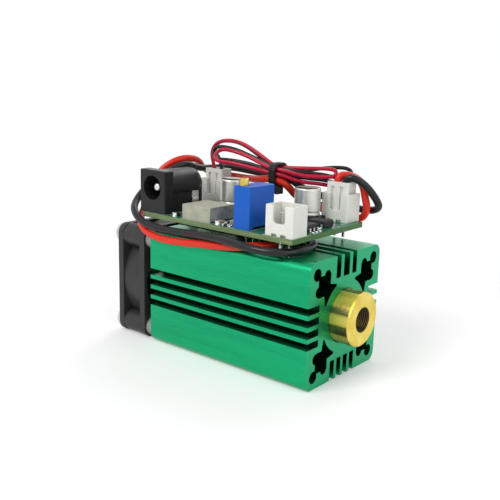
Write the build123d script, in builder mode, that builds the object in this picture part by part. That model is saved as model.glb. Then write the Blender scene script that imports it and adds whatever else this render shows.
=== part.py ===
"""Laser diode module: a finned body with a brass barrel, a fan behind it and a driver board on top.

All sizes are in millimetres. X runs along the beam, which leaves towards +X. Y runs across
the body and +Z is up. The origin is the centre of the body's underside.
"""

import math
import os

from build123d import *

os.makedirs("parts", exist_ok=True)

# Clearances and overruns
slide_gap = 0.1
running_gap = 0.06
seat_gap = 0.3
pin_gap = 0.08
cut_overrun = 1.0

# Body, an extruded heatsink
body_length = 50.0
body_size = 30.0
body_corner_radius = 2.2
hub_radius = 8.9
side_slot_count = 4
side_slot_pitch = 2.72
side_slot_width = 1.66
side_slot_floor = 1.65
top_slot_count = 3
top_slot_pitch = 3.37
top_slot_width = 1.8
top_middle_slot_width = 2.5
top_slot_floor = 0.9
bottom_slot_count = 4
bottom_slot_pitch = 2.83
bottom_slot_width = 1.8
bottom_slot_floor = 1.2

# Corner cavities of the extrusion: a screw channel, a square core, two ears and two tips
screw_from_face = 3.0
screw_channel_radius = 1.45
cavity_inner = 6.5
cavity_wall = 3.6
ear_radius = 1.25
ear_inset = 1.35
ear_sink = 0.2
tip_across = 4.1
tip_out = 8.5
tip_root = 8.95

# Holes in the body's top
lead_hole_radius = 2.6
lead_hole_x = -7.0
set_screw_x = 15.0

# Brass barrel with the lens and the diode
barrel_radius = 6.5
barrel_length = 25.0
barrel_proud = 5.0
barrel_chamfer = 0.35
aperture_radius = 3.0
aperture_depth = 4.5
chamber_radius = 4.5
chamber_end = 17.0
web_hole_radius = 2.0
web_thickness = 2.0
lens_cell_wall = 1.4
lens_cell_length = 4.5
lens_cell_lip = 0.4
lens_lip_thickness = 0.8
lens_edge_thickness = 1.2
lens_bulge = 0.7
diode_flange_radius = 2.8
diode_flange_thickness = 1.2
diode_cap_radius = 1.8
diode_cap_height = 2.3
diode_window_radius = 0.8
diode_window_depth = 0.3
diode_pin_radius = 0.23
diode_pin_length = 6.5
diode_pin_circle = 1.27
retainer_radius = 4.0
retainer_thickness = 2.0
retainer_hole_radius = 1.95

# Grub screw that holds the barrel
set_screw_radius = 1.45
set_screw_length = 4.0
set_screw_socket = 1.5
set_screw_socket_depth = 1.8

# Fan
fan_depth = 10.0
fan_gap = 2.4
fan_corner_radius = 2.6
fan_flange = 1.8
fan_wall = 0.7
fan_duct_from_face = 1.0
fan_boss_radius = 3.0
fan_hole_radius = 1.6
fan_base_radius = 7.6
fan_base_thickness = 1.4
fan_strut_width = 1.8
fan_strut_count = 4
fan_strut_turn = 20.0
fan_tube_radius = 2.4
fan_tube_length = 5.6
rotor_radius = 8.2
rotor_wall = 0.9
rotor_gap = 0.5
rotor_setback = 0.6
rotor_edge_radius = 0.6
blade_count = 7
blade_tip_gap = 0.6
blade_thickness = 0.7
blade_height = 6.6
blade_root_pitch = 50.0
blade_tip_pitch = 32.0
blade_camber_share = 0.14
shaft_radius = 0.75
shaft_length = 6.6
bush_radius = 1.9
bush_length = 4.2
stator_radius = 5.9
stator_core_radius = 3.4
stator_height = 3.0
stator_pole_width = 2.2
stator_shoe_thickness = 0.9
stator_shoe_turn = 62.0
stator_poles = 4
spacer_radius = 2.5
fan_screw_radius = 1.35
fan_screw_head_radius = 2.7
fan_screw_head_height = 1.9
fan_screw_bite = 5.0
fan_screw_cross_width = 0.7
fan_screw_cross_depth = 0.9

# Driver board
board_length = 48.0
board_width = 30.2
board_thickness = 1.2
board_gap = 3.2
board_front_setback = 5.4
board_side_inset = 0.4
board_corner_radius = 0.8
board_hole_gap = 0.12

# Two-way headers and the plugs that go in them
header_length = 7.8
header_depth = 5.75
header_height = 7.0
header_wall = 0.7
header_floor = 1.8
header_window_width = 3.3
header_window_depth = 4.1
header_window_corner = 0.8
header_notch_width = 1.5
header_notch_height = 0.6
header_edge = 0.25
pin_pitch = 2.54
pin_width = 0.64
pin_rise = 5.2
pin_tip = 0.15
plug_rise = 2.8
plug_lift = 0.4
plug_groove_width = 0.9
plug_groove_depth = 0.45
plug_groove_top = 1.1
plug_side_recess = 0.4
plug_side_recess_width = 2.4
plug_side_recess_height = 3.6
plug_edge = 0.3
plug_contact_width = 1.3
plug_pocket_length = 2.1
plug_pocket_width = 2.4
plug_pocket_depth = 0.8

# Where the headers stand, from the board's front or rear edge and its near side
modulation_header_from_front = 0.3
modulation_header_from_side = 0.4
laser_header_from_front = 1.7
laser_header_from_side = 25.1
fan_header_from_rear = 0.8
fan_header_from_side = 21.2

# Power jack
jack_width = 9.0
jack_height = 11.0
jack_depth = 14.2
jack_block_depth = 3.3
jack_axis_height = 6.5
jack_barrel_radius = 4.35
jack_end_step = 0.25
jack_end_length = 1.3
jack_foot_inset = 0.3
jack_socket_radius = 3.1
jack_socket_depth = 10.0
jack_socket_chamfer = 0.3
jack_overhang = 1.0
jack_from_side = 0.2
jack_pin_radius = 1.05
jack_pin_recess = 1.4
jack_blade_width = 2.6
jack_blade_thickness = 0.5
jack_leaf_thickness = 0.35
jack_leaf_height = 1.8
jack_leaf_start = 2.6
jack_leaf_inset = 0.15
jack_leg_width = 2.4
jack_leg_from_rear = 1.3
jack_leg_height = 5.1
jack_notch_margin = 0.25
jack_edge = 0.25

# Trimmer potentiometer
trimmer_width = 4.7
trimmer_length = 9.1
trimmer_height = 10.1
trimmer_standoff = 0.6
trimmer_foot = 1.5
trimmer_edge = 0.35
trimmer_share = 0.26875
trimmer_from_side = 0.8
trimmer_screw_radius = 1.1
trimmer_screw_rise = 1.7
trimmer_screw_depth = 1.4
trimmer_screw_from_end = 1.45
trimmer_screw_from_side = 1.75
trimmer_slot_width = 0.5
trimmer_slot_depth = 0.6
trimmer_pin_radius = 0.25

# Capacitors in cans
can_radius = 3.3
can_height = 7.1
can_edge = 0.45
can_groove_height = 1.1
can_groove_radius = 0.35
can_base_size = 6.6
can_base_thickness = 1.2
can_base_chamfer = 1.2
rear_can_from_header = 2.1
rear_can_from_side = 19.5
front_can_from_chip = 0.8
front_can_from_side = 21.7

# Power inductor
inductor_length = 9.2
inductor_width = 9.0
inductor_height = 3.7
inductor_shield = 0.35
inductor_share = 0.517
inductor_from_side = 0.5
inductor_side_inset = 0.06
inductor_foot_height = 0.3

# Driver chip and the power transistor next to it
chip_length = 4.9
chip_width = 3.9
chip_height = 1.5
chip_lift = 0.15
chip_bevel = 0.2
chip_lead_pitch = 1.27
chip_lead_width = 0.42
chip_lead_thickness = 0.22
chip_lead_reach = 1.0
chip_share = 0.05
chip_from_side = 16.1
transistor_length = 4.5
transistor_width = 2.5
transistor_from_side = 9.0
transistor_lead_pitch = 1.5
transistor_lead_width = 0.5

# Small two-ended chips
small_chip_length = 2.0
small_chip_width = 1.25
resistor_height = 0.55
ceramic_height = 1.0
end_cap_length = 0.4

# Leads
laser_lead_radius = 0.95
fan_lead_radius = 0.5
lead_turn_share = 0.45

# Leads: turning points of their middle lines, from the inner end to the plug
laser_lead_red_points = [
    (3.2, -1.1, 14.4),
    (-2.5, -1.1, 14.4),
    (-7.1, -1.1, 19.0),
    (-7.4, -1.1, 26.8),
    (-7.0, -1.1, 31.2),
    (-2.4, -1.2, 31.2),
    (4.6, -1.6, 31.2),
    (10.2, -4.4, 31.15),
    (10.9, -10.2, 31.15),
    (7.6, -14.6, 31.0),
    (1.4, -15.2, 29.95),
    (-5.4, -15.7, 29.5),
    (-12.4, -16.0, 28.9),
    (-19.2, -16.2, 28.6),
    (-25.2, -16.0, 29.4),
    (-29.6, -14.4, 31.4),
    (-32.6, -10.8, 33.4),
    (-34.0, -6.6, 36.6),
    (-36.2, -3.8, 40.2),
    (-34.6, -1.4, 43.9),
    (-31.8, 0.9, 46.3),
    (-30.2, 4.4, 46.9),
    (-30.6, 9.0, 45.8),
    (-32.4, 12.6, 42.8),
    (-28.6, 15.8, 41.6),
    (-23.4, 14.9, 41.7),
    (-16.2, 12.7, 41.9),
    (-9.4, 9.2, 42.6),
    (-4.6, 7.65, 43.5),
    (-0.2, 7.75, 43.4),
    (2.2, 12.0, 39.9),
    (5.6, 16.8, 36.6),
    (11.4, 18.5, 34.4),
    (17.2, 18.6, 34.2),
    (19.1, 18.0, 37.2),
    (18.4, 17.6, 40.3),
    (17.9, 17.4, 42.9),
    (16.9, 16.5, 45.4),
    (14.6, 15.2, 46.3),
    (12.75, 13.5, 46.0),
    (12.73, 13.38, 43.45),
]
laser_lead_black_points = [
    (3.2, 1.1, 14.4),
    (-2.5, 1.1, 14.4),
    (-7.1, 1.1, 19.0),
    (-7.4, 1.1, 26.8),
    (-7.0, 1.1, 31.2),
    (-2.6, 1.2, 31.2),
    (5.0, 1.8, 31.2),
    (12.6, 1.4, 31.2),
    (17.6, -2.4, 31.2),
    (19.4, -8.6, 31.2),
    (17.9, -14.0, 31.1),
    (13.0, -16.7, 31.1),
    (6.4, -16.9, 31.5),
    (-0.6, -16.3, 31.9),
    (-7.6, -15.8, 31.6),
    (-14.2, -15.8, 31.2),
    (-20.8, -16.0, 31.2),
    (-26.8, -16.3, 32.0),
    (-31.4, -15.0, 34.3),
    (-34.4, -11.4, 36.2),
    (-34.9, -7.2, 39.2),
    (-32.8, -4.0, 42.0),
    (-30.6, -0.8, 44.4),
    (-29.8, 3.0, 45.0),
    (-30.0, 7.4, 43.2),
    (-28.8, 12.2, 43.6),
    (-24.4, 14.6, 44.1),
    (-18.8, 14.0, 44.1),
    (-12.4, 12.4, 44.0),
    (-7.4, 10.7, 44.0),
    (-4.4, 9.85, 43.95),
    (-0.3, 9.95, 43.8),
    (2.3, 14.4, 41.6),
    (6.0, 18.2, 39.2),
    (11.6, 19.8, 37.0),
    (18.4, 20.5, 36.4),
    (21.6, 19.8, 37.7),
    (21.4, 17.9, 40.2),
    (19.8, 15.5, 43.5),
    (17.5, 13.8, 45.9),
    (15.3, 13.3, 45.75),
    (15.27, 13.38, 43.45),
]
fan_lead_red_points = [
    (-26.7, 1.9, 20.0),
    (-26.7, 3.6, 24.6),
    (-26.4, 5.4, 29.2),
    (-25.9, 7.6, 31.6),
    (-25.8, 12.6, 31.7),
    (-20.4, 16.6, 32.1),
    (-13.5, 18.0, 33.4),
    (-5.0, 18.4, 34.6),
    (3.0, 19.6, 36.2),
    (9.3, 20.8, 38.4),
    (12.4, 18.8, 41.6),
    (9.0, 14.2, 43.2),
    (3.6, 9.6, 43.6),
    (-0.9, 7.1, 45.05),
    (-4.4, 7.0, 45.15),
    (-8.4, 5.4, 46.0),
    (-13.4, 4.0, 46.9),
    (-18.2, 3.6, 46.9),
    (-21.6, 4.2, 47.3),
    (-22.8, 5.6, 48.8),
    (-20.4, 6.2, 50.0),
    (-15.5, 6.2, 49.8),
    (-10.8, 6.9, 48.6),
    (-6.8, 7.3, 47.1),
    (-4.2, 7.3, 46.25),
    (-0.9, 7.4, 46.2),
    (4.2, 9.4, 44.9),
    (8.4, 12.0, 44.7),
    (10.7, 13.1, 44.9),
    (10.9, 13.5, 46.3),
    (8.8, 13.0, 47.2),
    (4.0, 11.0, 47.1),
    (-0.8, 9.65, 46.5),
    (-4.2, 9.6, 46.5),
    (-8.7, 9.0, 49.2),
    (-13.6, 8.6, 51.6),
    (-18.9, 8.6, 52.4),
    (-22.8, 8.7, 51.2),
    (-24.2, 9.3, 49.2),
    (-22.8, 9.5, 46.9),
    (-22.43, 9.48, 43.45),
]
fan_lead_black_points = [
    (-26.7, 3.2, 19.6),
    (-26.7, 4.9, 24.2),
    (-26.7, 7.6, 29.8),
    (-27.2, 10.2, 31.6),
    (-26.9, 14.4, 31.5),
    (-21.2, 18.0, 31.6),
    (-13.0, 19.4, 32.6),
    (-5.0, 19.8, 33.6),
    (3.4, 21.0, 35.2),
    (10.6, 22.0, 37.8),
    (13.8, 19.6, 42.0),
    (9.6, 15.0, 44.2),
    (3.6, 10.9, 44.6),
    (-0.8, 8.25, 45.1),
    (-4.4, 8.15, 45.1),
    (-9.0, 7.3, 46.6),
    (-14.4, 6.0, 47.3),
    (-19.2, 5.8, 47.3),
    (-23.0, 6.6, 47.7),
    (-24.4, 7.8, 49.2),
    (-21.8, 7.9, 51.0),
    (-15.8, 7.6, 50.8),
    (-10.6, 8.0, 49.2),
    (-6.6, 8.4, 47.3),
    (-4.2, 8.45, 46.2),
    (-0.8, 8.5, 46.2),
    (4.0, 10.4, 46.0),
    (8.4, 13.3, 45.7),
    (11.2, 15.2, 45.3),
    (12.9, 17.2, 45.6),
    (12.2, 17.4, 47.4),
    (8.4, 15.2, 47.0),
    (4.0, 12.1, 46.1),
    (-0.8, 9.4, 45.35),
    (-4.2, 9.35, 45.35),
    (-7.8, 10.4, 47.4),
    (-13.4, 9.9, 50.4),
    (-19.4, 9.9, 51.4),
    (-24.2, 10.1, 50.6),
    (-26.4, 9.9, 48.6),
    (-25.4, 9.6, 46.8),
    (-24.97, 9.48, 43.45),
]

# Tie round the leads, and its middle
tie_width = 1.9
tie_thickness = 0.55
tie_inside_across = 4.6
tie_inside_high = 4.85
tie_inside_corner = 1.3
tie_head_length = 2.8
tie_head_depth = 2.4
tie_head_height = 2.2
tie_head_shift = 0.4
tie_tail_length = 3.4
tie_tail_turn = -24.0
tie_x = -2.5
tie_y = 8.7
tie_z = 44.78

# Places that follow from the sizes
axis_height = body_size / 2
screw_pitch = body_size - 2 * screw_from_face
fan_size = body_size
fan_duct_radius = fan_size / 2 - fan_duct_from_face
body_front = body_length / 2
body_rear = -body_length / 2
bore_radius = barrel_radius + slide_gap
barrel_front = body_front + barrel_proud
fan_front = body_rear - fan_gap
board_bottom = body_size + board_gap
board_top = board_bottom + board_thickness
board_front = body_front - board_front_setback
board_near = -body_size / 2 + board_side_inset
board_centre = Plane(origin=(board_front - board_length / 2, board_near + board_width / 2, board_bottom))
tail_length = board_thickness + board_gap - seat_gap
beam_plane = Plane(origin=(barrel_front, 0, axis_height), x_dir=(0, 1, 0), z_dir=(1, 0, 0))
fan_plane = Plane(origin=(fan_front, 0, axis_height), x_dir=(0, 1, 0), z_dir=(-1, 0, 0))

pieces = []


def keep(builder, label):
    """Name a finished piece and put it on the list that is written at the end."""
    builder.part.label = label
    pieces.append(builder)


def on_board(from_front, from_side):
    """Plane on the board's top, a distance back from its front edge and in from its near side."""
    return Plane(origin=(board_front - from_front, board_near + from_side, board_top))


fan_header_from_front = board_length - fan_header_from_rear - header_length
jack_from_front = board_length + jack_overhang - jack_width
inductor_from_front = board_length * inductor_share
inductor_rear = inductor_from_front + inductor_length
trimmer_from_front = board_length * trimmer_share
trimmer_rear = trimmer_from_front + trimmer_width
chip_from_front = board_length * chip_share
rear_can_from_front = fan_header_from_front - rear_can_from_header - can_base_size / 2
front_can_from_front = chip_from_front + chip_length + front_can_from_chip + can_base_size / 2


def between(low, high, share):
    """Place on the way from one distance to another."""
    return low + (high - low) * share


def header_plane(from_front, from_side):
    """Plane at the middle of a header whose front and near side stand at the given distances."""
    return on_board(from_front + header_length / 2, from_side + header_depth / 2)


modulation_plane = header_plane(modulation_header_from_front, modulation_header_from_side)
laser_plane = header_plane(laser_header_from_front, laser_header_from_side)
fan_header_plane = header_plane(fan_header_from_front, fan_header_from_side)
jack_plane = on_board(jack_from_front + jack_width / 2, jack_from_side)
trimmer_plane = on_board(trimmer_from_front + trimmer_width / 2, trimmer_from_side + trimmer_length / 2)
chip_plane = on_board(chip_from_front + chip_length / 2, chip_from_side + chip_width / 2)
transistor_plane = on_board(
    chip_from_front + transistor_width / 2, transistor_from_side + transistor_length / 2
)
inductor_plane = on_board(
    inductor_from_front + inductor_length / 2, inductor_from_side + inductor_width / 2
)
can_planes = [
    on_board(rear_can_from_front, rear_can_from_side),
    on_board(front_can_from_front, front_can_from_side),
]

# Body
with BuildSketch(Plane.YZ.offset(body_rear)) as body_section:
    with Locations((0, axis_height)):
        Rectangle(body_size, body_size)
    fillet(body_section.vertices(), body_corner_radius)

with BuildSketch() as cavities:
    cavity_outer = body_size / 2 - cavity_wall
    cavity_middle = (cavity_inner + cavity_outer) / 2
    ear_across = cavity_inner + ear_inset
    ear_out = cavity_outer - ear_sink
    with Locations((cavity_middle, cavity_middle)):
        Rectangle(cavity_outer - cavity_inner, cavity_outer - cavity_inner)
    with Locations((ear_across, ear_out), (ear_out, ear_across)):
        Circle(ear_radius)
    with Locations((screw_pitch / 2, screw_pitch / 2)):
        Circle(screw_channel_radius)
    Polygon(
        (tip_across, tip_out),
        (cavity_inner, tip_root),
        (tip_root, cavity_inner),
        (tip_out, tip_across),
        (0, 0),
        align=None,
    )
    Circle(hub_radius, mode=Mode.SUBTRACT)
    mirror(about=Plane.XZ)
    mirror(about=Plane.YZ)

# Slots leave a floor of a set thickness outside the hub
slot_room = body_size / 2 - hub_radius
with BuildSketch() as slots:
    with Locations((-body_size / 2, 0), (body_size / 2, 0)):
        with GridLocations(0, side_slot_pitch, 1, side_slot_count):
            Rectangle(2 * (slot_room - side_slot_floor), side_slot_width)
    with Locations((0, body_size / 2)):
        with GridLocations(top_slot_pitch, 0, top_slot_count, 1):
            Rectangle(top_slot_width, 2 * (slot_room - top_slot_floor))
        Rectangle(top_middle_slot_width, 2 * (slot_room - top_slot_floor))
    with Locations((0, -body_size / 2)):
        with GridLocations(bottom_slot_pitch, 0, bottom_slot_count, 1):
            Rectangle(bottom_slot_width, 2 * (slot_room - bottom_slot_floor))

with BuildPart() as heatsink:
    with BuildSketch(Plane.YZ.offset(body_rear)):
        add(body_section.sketch_local)
        with Locations((0, axis_height)):
            add(cavities.sketch_local, mode=Mode.SUBTRACT)
            add(slots.sketch_local, mode=Mode.SUBTRACT)
            Circle(bore_radius, mode=Mode.SUBTRACT)
    extrude(amount=body_length)
    with BuildSketch(Plane.XY.offset(axis_height)):
        with Locations((lead_hole_x, 0)):
            Circle(lead_hole_radius)
        with Locations((set_screw_x, 0)):
            Circle(set_screw_radius + slide_gap)
    extrude(amount=body_size, mode=Mode.SUBTRACT)
keep(heatsink, "heatsink")

# Barrel: a turned tube with the aperture in front and the diode's seat at the back
with BuildPart() as laser_barrel:
    with BuildSketch(beam_plane):
        Circle(barrel_radius)
    extrude(amount=-barrel_length)
    chamfer(laser_barrel.edges().filter_by(GeomType.CIRCLE), barrel_chamfer)
    with BuildSketch(beam_plane):
        Circle(aperture_radius)
    extrude(amount=-aperture_depth, mode=Mode.SUBTRACT)
    with BuildSketch(beam_plane.offset(-aperture_depth)):
        Circle(chamber_radius)
    extrude(amount=aperture_depth - chamber_end, mode=Mode.SUBTRACT)
    with BuildSketch(beam_plane.offset(-chamber_end)):
        Circle(web_hole_radius)
    extrude(amount=-barrel_length, mode=Mode.SUBTRACT)
    with BuildSketch(beam_plane.offset(-chamber_end - web_thickness)):
        Circle(diode_flange_radius + slide_gap)
    extrude(amount=-barrel_length, mode=Mode.SUBTRACT)
    with BuildSketch(beam_plane.offset(-chamber_end - web_thickness - diode_flange_thickness)):
        Circle(retainer_radius)
    extrude(amount=-barrel_length, mode=Mode.SUBTRACT)
keep(laser_barrel, "laser_barrel")

# Lens in its threaded cell, against the shoulder behind the aperture
lens_radius = chamber_radius - slide_gap - lens_cell_wall
cell_plane = beam_plane.offset(-aperture_depth)
with BuildPart() as lens_cell:
    with BuildSketch(cell_plane):
        Circle(chamber_radius - slide_gap)
        Circle(lens_radius - lens_cell_lip, mode=Mode.SUBTRACT)
    extrude(amount=-lens_cell_length)
    with BuildSketch(cell_plane.offset(-lens_lip_thickness)):
        Circle(lens_radius)
    extrude(amount=-lens_cell_length, mode=Mode.SUBTRACT)
keep(lens_cell, "lens_cell")

# Lens: a round disc, flat in front and bulging behind as part of a large ball
lens_plane = cell_plane.offset(-lens_lip_thickness)
lens_rim = lens_radius - pin_gap
lens_ball_radius = (lens_rim**2 + lens_bulge**2) / (2 * lens_bulge)
with BuildPart() as collimating_lens:
    with BuildSketch(lens_plane):
        Circle(lens_rim)
    extrude(amount=-lens_edge_thickness - lens_bulge)
    with Locations(lens_plane.offset(lens_ball_radius - lens_edge_thickness - lens_bulge)):
        Sphere(lens_ball_radius, mode=Mode.INTERSECT)
keep(collimating_lens, "collimating_lens")

# Diode: a flange with a cap in front and three pins behind
seat_plane = beam_plane.offset(-chamber_end - web_thickness)
with BuildPart() as laser_diode:
    with BuildSketch(seat_plane):
        Circle(diode_flange_radius)
    extrude(amount=-diode_flange_thickness)
    with BuildSketch(seat_plane):
        Circle(diode_cap_radius)
    extrude(amount=diode_cap_height)
    with BuildSketch(seat_plane.offset(diode_cap_height)):
        Circle(diode_window_radius)
    extrude(amount=-diode_window_depth, mode=Mode.SUBTRACT)
    with BuildSketch(seat_plane.offset(-diode_flange_thickness)):
        with PolarLocations(diode_pin_circle, 3, start_angle=90):
            Circle(diode_pin_radius)
    extrude(amount=-diode_pin_length)
keep(laser_diode, "laser_diode")

with BuildPart() as diode_retainer:
    with BuildSketch(seat_plane.offset(-diode_flange_thickness)):
        Circle(retainer_radius - pin_gap)
        Circle(retainer_hole_radius, mode=Mode.SUBTRACT)
    extrude(amount=-retainer_thickness)
keep(diode_retainer, "diode_retainer")

# Grub screw with a hexagon socket, down on the barrel
with BuildPart() as barrel_set_screw:
    screw_foot = Plane(origin=(set_screw_x, 0, axis_height + barrel_radius + pin_gap))
    with BuildSketch(screw_foot):
        Circle(set_screw_radius)
    extrude(amount=set_screw_length)
    with BuildSketch(screw_foot.offset(set_screw_length)):
        RegularPolygon(set_screw_socket / 2, 6, major_radius=False)
    extrude(amount=-set_screw_socket_depth, mode=Mode.SUBTRACT)
keep(barrel_set_screw, "barrel_set_screw")

# Fan frame: two flanges, the duct between them, corner bosses, and the motor's base on struts
with BuildPart() as fan_frame:
    with BuildSketch(fan_plane):
        RectangleRounded(fan_size, fan_size, fan_corner_radius)
    extrude(amount=fan_flange)
    with BuildSketch(fan_plane.offset(fan_depth)):
        RectangleRounded(fan_size, fan_size, fan_corner_radius)
    extrude(amount=-fan_flange)
    with BuildSketch(fan_plane):
        Circle(fan_duct_radius + fan_wall)
        with GridLocations(screw_pitch, screw_pitch, 2, 2):
            Circle(fan_boss_radius)
    extrude(amount=fan_depth)
    with BuildSketch(fan_plane):
        Circle(fan_duct_radius)
        with GridLocations(screw_pitch, screw_pitch, 2, 2):
            Circle(fan_hole_radius)
    extrude(amount=fan_depth, mode=Mode.SUBTRACT)
    with BuildSketch(fan_plane):
        Circle(fan_base_radius)
        with PolarLocations(0, fan_strut_count, start_angle=fan_strut_turn):
            with Locations(((fan_duct_radius + fan_wall) / 2, 0)):
                Rectangle(fan_duct_radius + fan_wall, fan_strut_width)
    extrude(amount=fan_base_thickness)
    with BuildSketch(fan_plane):
        Circle(fan_tube_radius)
    extrude(amount=fan_tube_length)
    with BuildSketch(fan_plane.offset(fan_base_thickness)):
        Circle(bush_radius)
    extrude(amount=fan_tube_length, mode=Mode.SUBTRACT)
keep(fan_frame, "fan_frame")

with BuildPart() as fan_bush:
    with BuildSketch(fan_plane.offset(fan_base_thickness)):
        Circle(bush_radius - running_gap)
        Circle(shaft_radius + running_gap, mode=Mode.SUBTRACT)
    extrude(amount=bush_length)
keep(fan_bush, "fan_bush")

# Stator: poles with curved shoes round a core on the bearing tube
with BuildPart() as fan_stator:
    with BuildSketch(fan_plane.offset(fan_base_thickness + rotor_gap)):
        Circle(stator_radius)
        Circle(stator_radius - stator_shoe_thickness, mode=Mode.SUBTRACT)
        with PolarLocations(0, stator_poles, start_angle=180 / stator_poles):
            with Locations((stator_radius, 0)):
                Rectangle(2 * stator_radius, stator_pole_width / 2, mode=Mode.SUBTRACT)
        Circle(stator_core_radius)
        with PolarLocations(0, stator_poles):
            with Locations((stator_core_radius, 0)):
                Rectangle(2 * (stator_radius - stator_core_radius), stator_pole_width)
        Circle(fan_tube_radius + pin_gap, mode=Mode.SUBTRACT)
    extrude(amount=stator_height)
keep(fan_stator, "fan_stator")

# Rotor: a cup over the stator with twisted blades, open towards the motor's base
rotor_start = fan_base_thickness + rotor_gap
rotor_end = fan_depth - rotor_setback
rotor_plane = fan_plane.offset(rotor_start)
blade_reach = fan_duct_radius - blade_tip_gap


def blade_section(radius, pitch):
    """Curved section of a blade, on a plane square to the blade's own radius."""
    middle = (rotor_start + rotor_end) / 2
    chord = blade_height / math.sin(math.radians(pitch))
    lean = Plane(
        origin=(fan_front - middle, 0, axis_height + radius),
        x_dir=(-math.sin(math.radians(pitch)), math.cos(math.radians(pitch)), 0),
        z_dir=(0, 0, 1),
    )
    bow = blade_camber_share * chord
    with BuildSketch(lean) as section:
        with BuildLine():
            ThreePointArc((-chord / 2, 0), (0, bow), (chord / 2, 0))
            ThreePointArc((-chord / 2, 0), (0, bow - blade_thickness), (chord / 2, 0))
        make_face()
    return section.sketch


with BuildPart() as fan_blade:
    loft([
        blade_section(rotor_radius - rotor_wall / 2, blade_root_pitch),
        blade_section(fan_duct_radius, blade_tip_pitch),
    ])
    with BuildSketch(fan_plane):
        Circle(blade_reach)
    extrude(amount=fan_depth, mode=Mode.INTERSECT)

with BuildPart() as fan_rotor:
    with BuildSketch(rotor_plane):
        Circle(rotor_radius)
    extrude(amount=rotor_end - rotor_start)
    fillet(fan_rotor.faces().sort_by(Axis.X)[0].edges(), rotor_edge_radius)
    with BuildSketch(rotor_plane):
        Circle(rotor_radius - rotor_wall)
    extrude(amount=rotor_end - rotor_start - rotor_wall, mode=Mode.SUBTRACT)
    for turn in range(blade_count):
        spin = Axis((0, 0, axis_height), (1, 0, 0))
        add(fan_blade.part.rotate(spin, turn * 360 / blade_count))
    with BuildSketch(rotor_plane):
        Circle(rotor_radius - rotor_wall)
    extrude(amount=rotor_end - rotor_start - rotor_wall, mode=Mode.SUBTRACT)
    with BuildSketch(fan_plane.offset(rotor_end - shaft_length)):
        Circle(shaft_radius)
    extrude(amount=shaft_length - rotor_wall / 2)
keep(fan_rotor, "fan_rotor")

# Spacers that hold the fan off the body, and the screws through both
with BuildPart() as fan_spacers:
    with BuildSketch(fan_plane):
        with GridLocations(screw_pitch, screw_pitch, 2, 2):
            Circle(spacer_radius)
            Circle(fan_hole_radius, mode=Mode.SUBTRACT)
    extrude(amount=-fan_gap)
keep(fan_spacers, "fan_spacers")

with BuildPart() as fan_screws:
    with BuildSketch(fan_plane.offset(fan_depth)):
        with GridLocations(screw_pitch, screw_pitch, 2, 2):
            Circle(fan_screw_head_radius)
    extrude(amount=fan_screw_head_height)
    fillet(
        fan_screws.edges().filter_by(GeomType.CIRCLE).group_by(Axis.X)[0], fan_screw_head_height / 2
    )
    with BuildSketch(fan_plane.offset(fan_depth + fan_screw_head_height)):
        with GridLocations(screw_pitch, screw_pitch, 2, 2):
            Rectangle(2 * fan_screw_radius, fan_screw_cross_width)
            Rectangle(fan_screw_cross_width, 2 * fan_screw_radius)
    extrude(amount=-fan_screw_cross_depth, mode=Mode.SUBTRACT)
    with BuildSketch(fan_plane.offset(fan_depth)):
        with GridLocations(screw_pitch, screw_pitch, 2, 2):
            Circle(fan_screw_radius)
    extrude(amount=-(fan_depth + fan_gap + fan_screw_bite))
keep(fan_screws, "fan_screws")


# Headers: an open box with a window in its near wall, and two square pins through its floor
def make_header(plane, label):
    """Header housing standing on its plane, with pin holes through the floor."""
    with BuildPart() as housing:
        with BuildSketch(plane):
            Rectangle(header_length, header_depth)
        extrude(amount=header_height)
        chamfer(housing.edges().filter_by(Axis.Z), header_edge)
        with BuildSketch(plane.offset(header_floor)):
            Rectangle(header_length - 2 * header_wall, header_depth - 2 * header_wall)
        extrude(amount=header_height, mode=Mode.SUBTRACT)
        near = Plane(
            origin=plane.origin - Vector(0, header_depth / 2, 0), x_dir=(1, 0, 0), z_dir=(0, 1, 0)
        )
        with BuildSketch(near):
            with Locations((0, -header_height)):
                RectangleRounded(header_window_width, 2 * header_window_depth, header_window_corner)
        extrude(amount=header_wall, mode=Mode.SUBTRACT)
        with BuildSketch(plane):
            with GridLocations(pin_pitch, header_depth, 2, 2):
                Rectangle(header_notch_width, 2 * header_wall)
        extrude(amount=header_notch_height, mode=Mode.SUBTRACT)
        with BuildSketch(plane):
            with GridLocations(pin_pitch, 0, 2, 1):
                Rectangle(pin_width + 2 * pin_gap, pin_width + 2 * pin_gap)
        extrude(amount=header_floor, mode=Mode.SUBTRACT)
    keep(housing, label)


def make_header_pins(plane, label):
    """Two square pins from below the board up into the header."""
    with BuildPart() as pins:
        with BuildSketch(plane.offset(-tail_length)):
            with GridLocations(pin_pitch, 0, 2, 1):
                Rectangle(pin_width, pin_width)
        extrude(amount=tail_length + pin_rise)
        chamfer(pins.faces().group_by(Axis.Z)[-1].edges(), pin_tip)
    keep(pins, label)


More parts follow.
